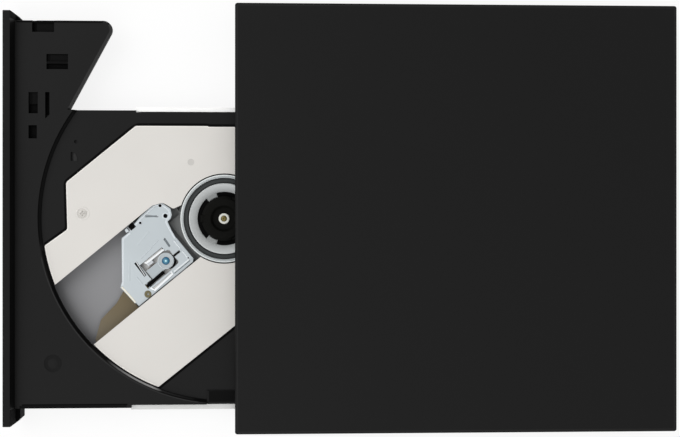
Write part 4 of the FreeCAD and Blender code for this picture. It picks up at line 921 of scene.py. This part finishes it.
    def lens(self):
        """Domed lens, its stepped collar, the crescent of shadow beside the holder, and the guard ring."""
        x, y = LENS_AT
        dome = bow((0, 8.28), (1.3, 0.34), 90, 0, 14) + [(1.3, 7.35), (1.1, 7.3), (0, 7.3)]
        turned("lens_dome", dome, "lens_glass", "lens_arm", replaces=["lens"], centre=LENS_AT)
        collar = [(1.32, 8.1), (2.55, 8.1), (2.58, 8.34), (2.42, 8.46), (2.2, 8.42), (1.7, 8.32), (1.5, 8.42),
                  (1.36, 8.4)]
        turned("lens_collar", collar, "holder_plastic", "lens_arm", centre=LENS_AT, steps=72)
        moon = np.radians(np.linspace(-68, 40, 30))
        inner, outer = 2.7, 2.7 + 0.75 * np.sin(np.linspace(0.2, math.pi - 0.2, 30))
        rings = [place(x + r * np.cos(moon), y + r * np.sin(moon), z)
                 for r, z in ((inner, 8.4), (outer, 8.4), (outer, 8.52), (inner, 8.52))]
        piece("lens_shadow_gap", [loft(np.stack(rings, 1))], "black_and_painted_shade", "pickup")
        rim = [(2.44, 8.27), (2.66, 8.27), (2.68, 8.32), (2.56, 8.365), (2.46, 8.32)]
        turned("lens_guard", rim, "pickup_edge", "lens_arm", "pickup_sheet", centre=LENS_AT, steps=72)


class DRIVE_OT_screws(bpy.types.Operator):
    """Cross-headed screws in the deck plate, under the case and through the sled's dampers"""
    bl_idname = "drive.screws"
    bl_label = "Screws"

    def execute(self, context):
        deck = []
        for x, y in (PLATE_SCREW, (36.0, 20.0), (36.0, -20.0)):
            deck.append(cross_head(x, y, 1.3, 9.1, 9.42, 0.3))
            deck.append(self.thread(x, y, 0.6, 8.2, 9.16, turned=-1))
        for x, y in (spot(-11.0, 24.5), spot(-14.0, -12.0), spot(48.0, -15.5)):
            deck.append(cross_head(x, y, 1.7, 3.45, 3.95, 0.25, down=True))
            deck.append(self.thread(x, y, 0.7, 3.9, 7.4))
        piece("deck_screws", deck, "deck_screw", "tray", ["tray_screws"])
        under = []
        for x, y in ((10.0, 67.4), (10.0, -67.4), (137.8, 64.0), (137.8, -64.0)):
            under.append(cross_head(x, y, 1.3, 1.45, 2.1, 0.32, down=True))
            under.append(self.thread(x, y, 0.7, 2.05, 12.5))
        piece("case_screws_threaded", under, "screw_steel", "case", replaces=["case_screws"])
        return {"FINISHED"}

    def thread(self, x, y, radius, low, high, turned=1):
        """Screw thread: r = mean + swing * cos(angle - height * 2 pi / pitch). The swing fades out over half
        a millimetre at both ends, and turned is 1 or -1 for the way it winds."""
        pitch, swing = 0.5, 0.09
        z = np.linspace(low, high, max(24, int((high - low) * 14)))[:, None]
        a = np.linspace(0, TAU, 20, endpoint=False)[None, :]
        fade = np.clip((z - low) / 0.5, 0, 1) * np.clip((high - z) / 0.5, 0, 1)
        r = radius - swing + swing * fade * np.cos(a - turned * z * TAU / pitch)
        return loft(place(x + r * np.cos(a), y + r * np.sin(a), z + 0 * a))


class DRIVE_OT_trim(bpy.types.Operator):
    """Thin gaps, edge lines and shaded walls of the tray, bezel and case, and small forms on the tray"""
    bl_idname = "drive.trim"
    bl_label = "Tray trim"

    def execute(self, context):
        corner = (-33.6, 29.99)
        bends = [(-32.93, 30.54), (-55.67, 11.91), (-55.25, -3.55), (-62.44, -8.73)]
        left_side = rounded(bends, 0.9, closed=False)
        left_side[0] = corner
        top_side = np.array([(28.0, 30.28), (-9.0, 30.28), (-9.3, 30.54), (-32.3, 30.54), corner])
        self.gaps((left_side, [(-25.73, -55.64), (6.0, -30.3)], top_side))
        self.rim_walls()
        self.edge_shades()
        self.edge_lights((left_side, top_side))
        self.case_line()
        self.pockets()
        self.small_forms()
        return {"FINISHED"}

    def on_tray(self, name, shapes, finish, slot="tray_plastic"):
        piece(name, shapes, finish, "tray")

    def gaps(self, plate_sides):
        """Dark gaps of painted shadow along the deck plate's sides and the tray's ribs, and the back of the
        bezel in painted shade.
        """
        gap = [edge_strip(line, FLOOR_TOP, -0.02, 0.85) for line in plate_sides]
        gap += [self.bezel_end(64.9, 1), self.bezel_end(61.9, -1)]
        step = 0.24
        for line in ([(-69.6, -60.9), (-35.4, -60.9)], [(-43.4, 64.3), (-71.4, 64.3)]):
            gap.append(edge_strip(line, DECK_TOP, -step, step, 0.03))
        self.on_tray("tray_gaps", gap, "black_and_painted_shade")

    def bezel_end(self, start, side):
        """Black skin of painted shade over the back slope, ledge and back of the bezel, from a distance off
        the middle to the cut corner. Its section is a bent band, whose outer end follows the corner's
        slanting plane."""
        band = np.array([(-72.53, 15.34), (-71.84, 11.02), (-71.84, 9.06), (-70.54, 9.06), (-70.54, 2.8),
                         (-70.64, 2.8), (-70.64, 8.96), (-71.94, 8.96), (-71.96, 10.98), (-72.6, 15.25)])
        reach = np.minimum(67.32, 67.32 - 0.944 * (band[:, 0] + 72.4))
        rows = [place(band[:, 0], side * y, band[:, 1]) for y in (start, reach)]
        return loft(np.stack(rows[::side]))

    def rim_walls(self):
        """Slanting wall between the deck and the disc recess, in two stretches with a tone each: thin skins
        of painted light and shade.
        """
        slope = np.array([(-0.24, -0.45), (0.17, 0.45), (0.3, 0.35), (-0.1, -0.55)]) * MM
        for name, start, end, finish in (("rim_wall_upper", 144.8, 190.0, "rim_shade"),
                                         ("rim_wall_lower", 190.0, 260.5, "rim_painted_light_and_shade")):
            x, y = arc_path(60.3, start, end).T
            self.on_tray(name, [sweep(place(x, y, 9.95), slope)], finish)

    def edge_shades(self):
        shades = [edge_strip([(-70.4, -61.6), (-35.7, -61.6)], DECK_TOP, -0.4, 0.42, 0.03),
                  edge_strip([(-8.9, -58.7), (49.0, -58.7)], LOW_RIM_TOP, -1.85, 1.75, 0.03),
                  edge_strip([(-61.6, 51.0), (-54.8, 51.0)], DECK_TOP, -0.26, 0.26, 0.03)]
        self.on_tray("tray_edge_shade", shades, "pocket_shade")

    def edge_lights(self, plate_sides):
        """Painted highlights: bright edges of the plate, the recess and the wing's slanting side with its
        rounded tip.
        """
        bright = [edge_strip(line, PLATE_TOP, -0.4, -0.06, 0.05) for line in plate_sides]
        bright += [edge_strip(arc_path(59.55, start, end), PLATE_TOP, -0.42, -0.06, 0.05)
                   for start, end in ((188.8, 201.2), (224.7, 247.6))]
        self.on_tray("plate_edge_light", bright, "plate_highlight", "deck_paint")
        rim = edge_strip(arc_path(60.9, 192.0, 262.0), DECK_TOP, -0.2, 0.2, 0.05)
        self.on_tray("rim_light", [rim], "tray_highlight")
        tip = arc_path(3.0, -28.3, 40.0, (-43.4, 61.87), 20)
        x, y = np.vstack([np.linspace((-54.0, 35.87), (-41.0, 60.0), 12), tip]).T
        bevel = np.array([(-0.76, 0.07), (-0.02, -0.63), (-0.1, -0.8), (-0.85, -0.06)]) * MM
        self.on_tray("wing_edge_light", [sweep(place(x, y, DECK_TOP), bevel)], "wing_highlight")

    def case_line(self):
        """A painted highlight: the thin paler line round the top face of the case, along its rounded edge."""
        cover = rounded(rectangle(0.8, 144.2, -69.2, 69.2), 0.6, 6)
        line = edge_strip(np.vstack([cover, cover[:1]]), CASE_TOP, -0.16, 0.16, 0.03)
        piece("cover_edge_highlight", [line], "case_highlight", "case")

    def pockets(self):
        """Painted shade: rough unlit floors of the wing's moulded pockets, each a plate with a rolled edge
        just
        above the cut: its ends in x, its ends in y and its height."""
        deep = ((-66.35, -65.0, 61.0, 64.8, 9.6), (-65.0, -59.2, 63.9, 64.8, 10.1),
                (-61.7, -60.6, 51.3, 53.8, 10.3), (-61.7, -54.7, 48.85, 50.7, 9.6),
                (-67.5, -66.4, 37.4, 41.3, 10.4), (-67.5, -64.5, 34.4, 37.4, 9.4),
                (-62.1, -60.7, 34.0, 41.35, 9.3), (-67.5, -64.8, 26.2, 30.5, 9.4))
        shallow = ((-65.0, -59.2, 61.0, 63.9, 10.1), (-60.6, -54.7, 51.3, 53.8, 10.3),
                   (-66.4, -64.5, 37.4, 41.3, 10.4))
        for name, floors, finish in (("deep", deep, "black_and_painted_shade"), ("shallow", shallow, "pocket_shade")):
            plates = [pad(rounded(rectangle(*ends), 0.15, 3), z - 0.1, z + 0.08, 0.05) for *ends, z in floors]
            self.on_tray(f"pocket_floors_{name}", plates, finish)

    def small_forms(self):
        """Wall and floor of the deck's dish, ring round the plate's screw, plate's dimple and the hook; the
        dish wall, dimple and hook carry painted light and shade.
        """
        wall = [(1.7, 10.68), (2.9, 10.68), (2.9, 10.98), (2.7, 10.9), (2.3, 10.82), (1.7, 10.78)]
        bowl = [(0, 10.68), (1.7, 10.68), (1.7, 10.8), (1.2, 10.86), (0.6, 10.9), (0, 10.91)]
        ring = [(1.4, 9.15), (2.3, 9.28), *bow((2.0, PLATE_TOP), (0.3, 0.1)), (1.45, 9.2)]
        cup = [(0, 9.2), (1.08, 9.2), (1.08, 9.29), (0.7, 9.25), (0, 9.24)]
        for name, profile, finish, slot, centre, steps in (
                ("dish_wall", wall, "rim_shade", "tray_plastic", DISH_AT, 64),
                ("dish_floor", bowl, "tray_plastic", "tray_plastic", DISH_AT, 64),
                ("screw_dimple", ring, "deck_paint", "deck_paint", PLATE_SCREW, 64),
                ("plate_dimple", cup, "plate_shade", "deck_paint", (-14.84, 18.63), 48)):
            turned(name, profile, finish, "tray", slot, centre=centre, steps=steps)
        hook = rounded([(-53.3, 18.9), (-52.0, 18.9), (-52.0, 20.1), (-52.6, 21.4), (-53.3, 21.6)], 0.3, 4)
        self.on_tray("tray_hook", [pad(hook, 8.95, 9.16, 0.08)], "tray_highlight")


class DRIVE_OT_feet(bpy.types.Operator):
    """Rubber feet with a rolled edge and a dished ring pattern underneath"""
    bl_idname = "drive.feet"
    bl_label = "Feet"

    def execute(self, context):
        under = [(0, 0.16), (1.4, 0.16), (1.6, 0.05), (2.0, 0.05), (2.2, 0.14), (2.9, 0.14), (3.1, 0.0)]
        profile = under + bow((4.35, 0.55), (0.55, 0.55), -90, 0, 7) + [(4.9, 1.5), (0, 1.5)]
        feet = [lathe(profile, (x, y), 72) for x in (14.0, CASE_LENGTH - 14.0) for y in (56.0, -56.0)]
        piece("feet_moulded", feet, "rubber", "case", replaces=["rubber_feet"])
        return {"FINISHED"}


class DRIVE_OT_screw_and_spring(bpy.types.Operator):
    """Two-start lead screw of the sled and the coil spring of the ejector"""
    bl_idname = "drive.screw_and_spring"
    bl_label = "Lead screw and spring"

    def execute(self, context):
        u = np.linspace(12.9, 57.7, 520)[:, None]
        starts, lead = 2, 3.0
        angle = np.linspace(0, TAU, 24, endpoint=False)[None, :]
        wave = np.cos(starts * (angle - u * TAU / lead))
        shapes = [self.shaft(u, 0.8 + 0.1 * np.clip(wave * 2.2, -1, 1), angle)]
        tapered = np.array([0.4, 0.5, 0.5, 0.5, 0.5, 0.4])[:, None]
        for low, high in ((8.4, 12.95), (57.65, 59.2)):
            shapes.append(self.shaft(np.linspace(low, high, 6)[:, None], tapered, angle))
        piece("lead_screw_thread", shapes, "rod_steel", "feed_screw", replaces=["lead_screw"])
        front, rear, y, z = 25.3, 46.7, -40.0, 5.8
        coil = helix(front, rear, (y, z), 1.62, 0.18, context.scene.drive_sizes.spring_turns)
        spring = piece("ejector_coil", [coil], "spring_steel", "tray", replaces=["ejector_spring"])
        place(front, y, z).tolist()
        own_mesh(spring)
        return {"FINISHED"}

    def shaft(self, u, radius, angle):
        """Rings about the lead screw's axis: v = axis + r cos a, z = axis + r sin a."""
        v, z = SCREW_V + radius * np.cos(angle), SCREW_Z + radius * np.sin(angle)
        return loft(on_sled(u + 0 * angle, v, z))


class DRIVE_OT_cables(bpy.types.Operator):
    """Flat ribbon cable between case and tray, and the pickup's flexible circuit"""
    bl_idname = "drive.cables"
    bl_label = "Cables"

    def execute(self, context):
        self.ribbon_cable()
        self.flex()
        return {"FINISHED"}

    def ribbon_cable(self):
        """Two flat lengths on the case's side, and the upper length that turns half a circle to the tray."""
        low, high, thick = 2.83, 4.27, 0.15
        near, far, outer = 16.0, 26.0, 40.8
        level = low + thick / 2
        lower = [self.ribbon(np.linspace(55.0, 90.6, 40), np.full(40, level), near, far, thick),
                 self.ribbon(np.linspace(55.2, 64.8, 12), np.full(12, level), far, outer, thick)]
        piece("ribbon_lower", lower, "ribbon_film", "case", replaces=["ribbon_cable"])
        t = np.linspace(-math.pi / 2, math.pi / 2, 22)
        middle, reach = (low + high + thick) / 2, (high - low) / 2
        x = np.concatenate([[90.4], 91.5 + reach * np.cos(t), np.linspace(90.5, 26.2, 90)])
        z = np.concatenate([[middle - reach], middle + reach * np.sin(t), np.full(90, middle + reach)])
        band = piece("ribbon_upper", [self.ribbon(x, z, near, far, thick)], "ribbon_film")
        place(91.5, 21.0, 4.3).tolist()
        place(27.0, 21.0, 4.3).tolist()
        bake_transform(band)

    def ribbon(self, x, z, y0, y1, thick):
        """A flat band along a curve in x and z; each cross ring goes from y0 to y1 over conductor ribs."""
        path = np.stack([x, z], -1)
        along = unit(np.gradient(path, axis=0))
        normal = np.stack([-along[:, 1], along[:, 0]], -1)
        y = np.linspace(y0, y1, 41)
        rib = 0.5 * thick * (0.72 + 0.28 * np.abs(np.sin(math.pi * (y - y0) / 0.5)))
        ring_y = np.concatenate([y, y[::-1]])
        ring_h = np.concatenate([rib, -rib[::-1]])
        px, pz = (path[:, k:k + 1] + normal[:, k:k + 1] * ring_h for k in (0, 1))
        return loft(place(px, ring_y[None, :] + 0 * px, pz))

    def flex(self):
        """A slightly sagging band between two edges, each read between its stations along the run, and the
        long tail in which it ends."""
        s = np.linspace(0, 1, 70)
        stations = [0.0, 0.1, 0.24, 0.4, 0.52, 0.62, 0.8, 1.0]
        left = [(41.0, 2.9), (45.7, 1.1), (53.1, 0.2), (59.0, -4.0), (58.2, -8.4), (53.4, -9.9),
                (46.0, -13.6), (44.0, -19.6)]
        right = [(40.9, -4.8), (42.6, -5.0), (44.4, -5.9), (45.4, -7.2), (45.2, -8.4), (44.3, -9.4),
                 (41.0, -10.4), (37.0, -13.8)]
        left, right = (np.stack([np.interp(s, stations, k) for k in zip(*edge)], -1)[:, None]
                       for edge in (left, right))
        across = np.linspace(0, 1, 13)[None, :, None]
        u, v = np.moveaxis(left * (1 - across) + right * across, -1, 0)
        run = self.film(u, v, 0.05 * np.sin(math.pi * s)[:, None])
        tail = np.meshgrid(np.linspace(44.6, -12.0, 60), np.linspace(-14.0, -20.0, 13), indexing="ij")
        shapes = [run, self.film(*tail, 0.0)]
        flex = piece("flex_run", shapes, "flex_film", replaces=["pickup_flex"])
        on_sled(46.0, -12.0, 5.0).tolist()
        on_sled(41.0, -4.0, 5.0).tolist()
        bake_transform(flex)

    def film(self, u, v, sag):
        """Closed rings over a grid on the sled: across its upper face and back across its lower face."""
        upper, lower = (on_sled(u, v, level + sag) for level in (5.02, 4.88))
        return loft(np.concatenate([upper, lower[:, ::-1]], 1))


class DRIVE_OT_socket(bpy.types.Operator):
    """Gold contacts on the socket's tongue and the rolled mouth of its shell"""
    bl_idname = "drive.socket"
    bl_label = "Socket"

    def execute(self, context):
        strip = np.array([(-0.12, -0.02), (0.12, -0.02), (0.1, 0.03), (-0.1, 0.03)]) * MM
        x = np.linspace(139.6, 143.4, 10)
        pitch = 0.5
        contacts = [sweep(place(x, SOCKET_Y + (k - 5.5) * pitch, z), strip)
                    for k in range(12) for z in (6.38, 5.68)]
        piece("socket_contacts", contacts, "contact_gold", "case")
        t = np.linspace(0, TAU, 72, endpoint=False)
        y = np.clip(np.cos(t) * 99, -2.84, 2.84) + 1.5 * np.cos(t)
        mouth = place(144.7, SOCKET_Y + y, 6.03 + 1.5 * np.sin(t))
        piece("socket_lip", [wire_loop(mouth, ALONG_X, 0.17, 8)], "socket_steel", "case")
        return {"FINISHED"}


class DRIVE_OT_light(bpy.types.Operator):
    """Domed end of the light pipe in the tray's front"""
    bl_idname = "drive.light"
    bl_label = "Light"

    def execute(self, context):
        a = np.linspace(0, math.pi / 2, 6)
        grow = np.concatenate([[1.0], np.cos(a) * 0.25 + 0.75])
        x = np.concatenate([[-68.0], -74.75 - 0.2 * np.sin(a)])
        outline = rounded(rectangle(-1.35, 1.35, -0.38, 0.38), 0.3, 5)
        rings = [place(px, -34.0 + outline[:, 0] * g, 7.5 + outline[:, 1] * g) for px, g in zip(x, grow)]
        piece("light_dome", [loft(np.stack(rings))], "light_pipe", "tray", replaces=["status_light"])
        return {"FINISHED"}


class DRIVE_OT_stage(bpy.types.Operator):
    """Pale floor, bright sky, soft lamps and the camera above the table"""
    bl_idname = "drive.stage"
    bl_label = "Stage"

    def execute(self, context):
        scene = context.scene
        sizes, chosen = scene.drive_sizes, scene.drive_colours
        self.floor(tuple(chosen.backdrop))
        self.world(tuple(chosen.backdrop))
        self.lamp("lamp_key", (-0.55, 0.3, 0.75), 0.7, 3.3)
        self.lamp("lamp_fill", (-0.2, -0.5, 0.75), 0.8, 2.4)
        self.camera(sizes.camera_height, sizes.camera_lens)
        scene.view_settings.view_transform = "Standard"
        return {"FINISHED"}

    def floor(self, tone):
        """One large level square, finely cut so that its faces stay small."""
        reach, count, drop = 4.0, 9, 0.0001
        t = np.linspace(-reach, reach, count)
        x, y = np.meshgrid(t, t, indexing="ij")
        points = np.stack([x, y, 0 * x - drop], -1)
        mesh = bpy.data.meshes.new("floor")
        mesh.from_pydata(points.reshape(-1, 3).tolist(), [], grid_faces(count, count, False, False))
        mesh.update()
        obj = bpy.data.objects.new("floor", mesh)
        bpy.context.scene.collection.objects.link(obj)
        mesh.materials.append(self.paper(tone))

    def seen(self, tree):
        """One for a ray from the camera, from gloss or through glass; zero where it lights a surface."""
        path = tree.nodes.new("ShaderNodeLightPath")
        total = path.outputs["Is Camera Ray"]
        for other in ("Is Glossy Ray", "Is Transmission Ray"):
            either = tree.nodes.new("ShaderNodeMath")
            either.operation = "MAXIMUM"
            tree.links.new(total, either.inputs[0])
            tree.links.new(path.outputs[other], either.inputs[1])
            total = either.outputs[0]
        return total

    def paper(self, tone):
        """White paper whose own light fills it to white for the camera and leaves the shadow in part."""
        f = Finish("paper", rough=0.9, specular=0.0)
        f.tint(f.ramp(f.noise(f.coords, 6.0), [(0.3, shade(tone, 0.985)), (0.7, shade(tone, 1.0))]))
        glow = f.node("ShaderNodeEmission")
        glow.inputs["Color"].default_value = (*tone, 1.0)
        share = f.node("ShaderNodeMath", operation="MULTIPLY")
        share.inputs[1].default_value = FLOOR_GLOW
        f.link(self.seen(f.tree), share.inputs[0])
        mix = f.node("ShaderNodeMixShader")
        f.link(share.outputs[0], mix.inputs[0])
        f.link(f.shader.outputs[0], mix.inputs[1])
        f.link(glow.outputs[0], mix.inputs[2])
        f.link(mix.outputs[0], f.tree.nodes["Material Output"].inputs["Surface"])
        return f.material

    def world(self, tone):
        """White for what the camera, gloss and glass see, and a softer white for the light on the object."""
        world = bpy.data.worlds.new("sky")
        world.use_nodes = True
        tree = world.node_tree
        ground = tree.nodes["Background"]
        ground.inputs["Color"].default_value = (*tone, 1.0)
        span = tree.nodes.new("ShaderNodeMapRange")
        span.inputs["To Min"].default_value = SKY_LIGHT
        span.inputs["To Max"].default_value = 1.0
        tree.links.new(self.seen(tree), span.inputs["Value"])
        tree.links.new(span.outputs["Result"], ground.inputs["Strength"])
        bpy.context.scene.world = world

    def lamp(self, name, at, width, power):
        """A square lamp that faces the middle of the floor; place and width in metres, power in watts."""
        light = bpy.data.lights.new(name, "AREA")
        light.shape = "SQUARE"
        light.size = width
        light.energy = power
        obj = bpy.data.objects.new(name, light)
        bpy.context.scene.collection.objects.link(obj)
        obj.location = at
        x, y, z = at
        obj.rotation_euler = (math.atan2(math.hypot(x, y), z), 0, math.atan2(y, x) + math.pi / 2)

    def camera(self, height, lens):
        """Looks almost straight down, with the tilt that puts the part in the middle of the view."""
        data = bpy.data.cameras.new("camera")
        data.lens = lens
        data.sensor_width = 36.0
        data.sensor_fit = "HORIZONTAL"
        data.clip_start = 0.01
        obj = bpy.data.objects.new("camera", data)
        bpy.context.scene.collection.objects.link(obj)
        obj.location = (CAMERA_X, CAMERA_Y, height)
        obj.rotation_euler = (0, CAMERA_TILT, 0)
        bpy.context.scene.camera = obj


PIECES = (DRIVE_OT_finishes, DRIVE_OT_turntable, DRIVE_OT_windings, DRIVE_OT_pickup, DRIVE_OT_screws,
          DRIVE_OT_trim, DRIVE_OT_feet, DRIVE_OT_screw_and_spring, DRIVE_OT_cables, DRIVE_OT_socket,
          DRIVE_OT_light, DRIVE_OT_stage)


class DRIVE_PT_panel(bpy.types.Panel):
    """Buttons for each group of pieces, with the sizes and colours that can be changed"""
    bl_idname = "DRIVE_PT_panel"
    bl_label = "Disc drive"
    bl_space_type = "VIEW_3D"
    bl_region_type = "UI"
    bl_category = "Disc drive"

    def draw(self, context):
        for group in (context.scene.drive_sizes, context.scene.drive_colours):
            for key in group.bl_rna.properties.keys():
                if key not in ("rna_type", "name"):
                    self.layout.prop(group, key)
        for operator in PIECES:
            self.layout.operator(operator.bl_idname)


CLASSES = (DriveSizes, DriveColours, *PIECES, DRIVE_PT_panel)


def register():
    for cls in CLASSES:
        bpy.utils.register_class(cls)
    bpy.types.Scene.drive_sizes = PointerProperty(type=DriveSizes)
    bpy.types.Scene.drive_colours = PointerProperty(type=DriveColours)


def unregister():
    del bpy.types.Scene.drive_sizes
    del bpy.types.Scene.drive_colours
    for cls in reversed(CLASSES):
        bpy.utils.unregister_class(cls)


def main():
    register()
    for operator in PIECES:
        group, name = operator.bl_idname.split(".")
        getattr(getattr(bpy.ops, group), name)()
    bpy.context.view_layer.update()


if __name__ == "__main__":
    main()
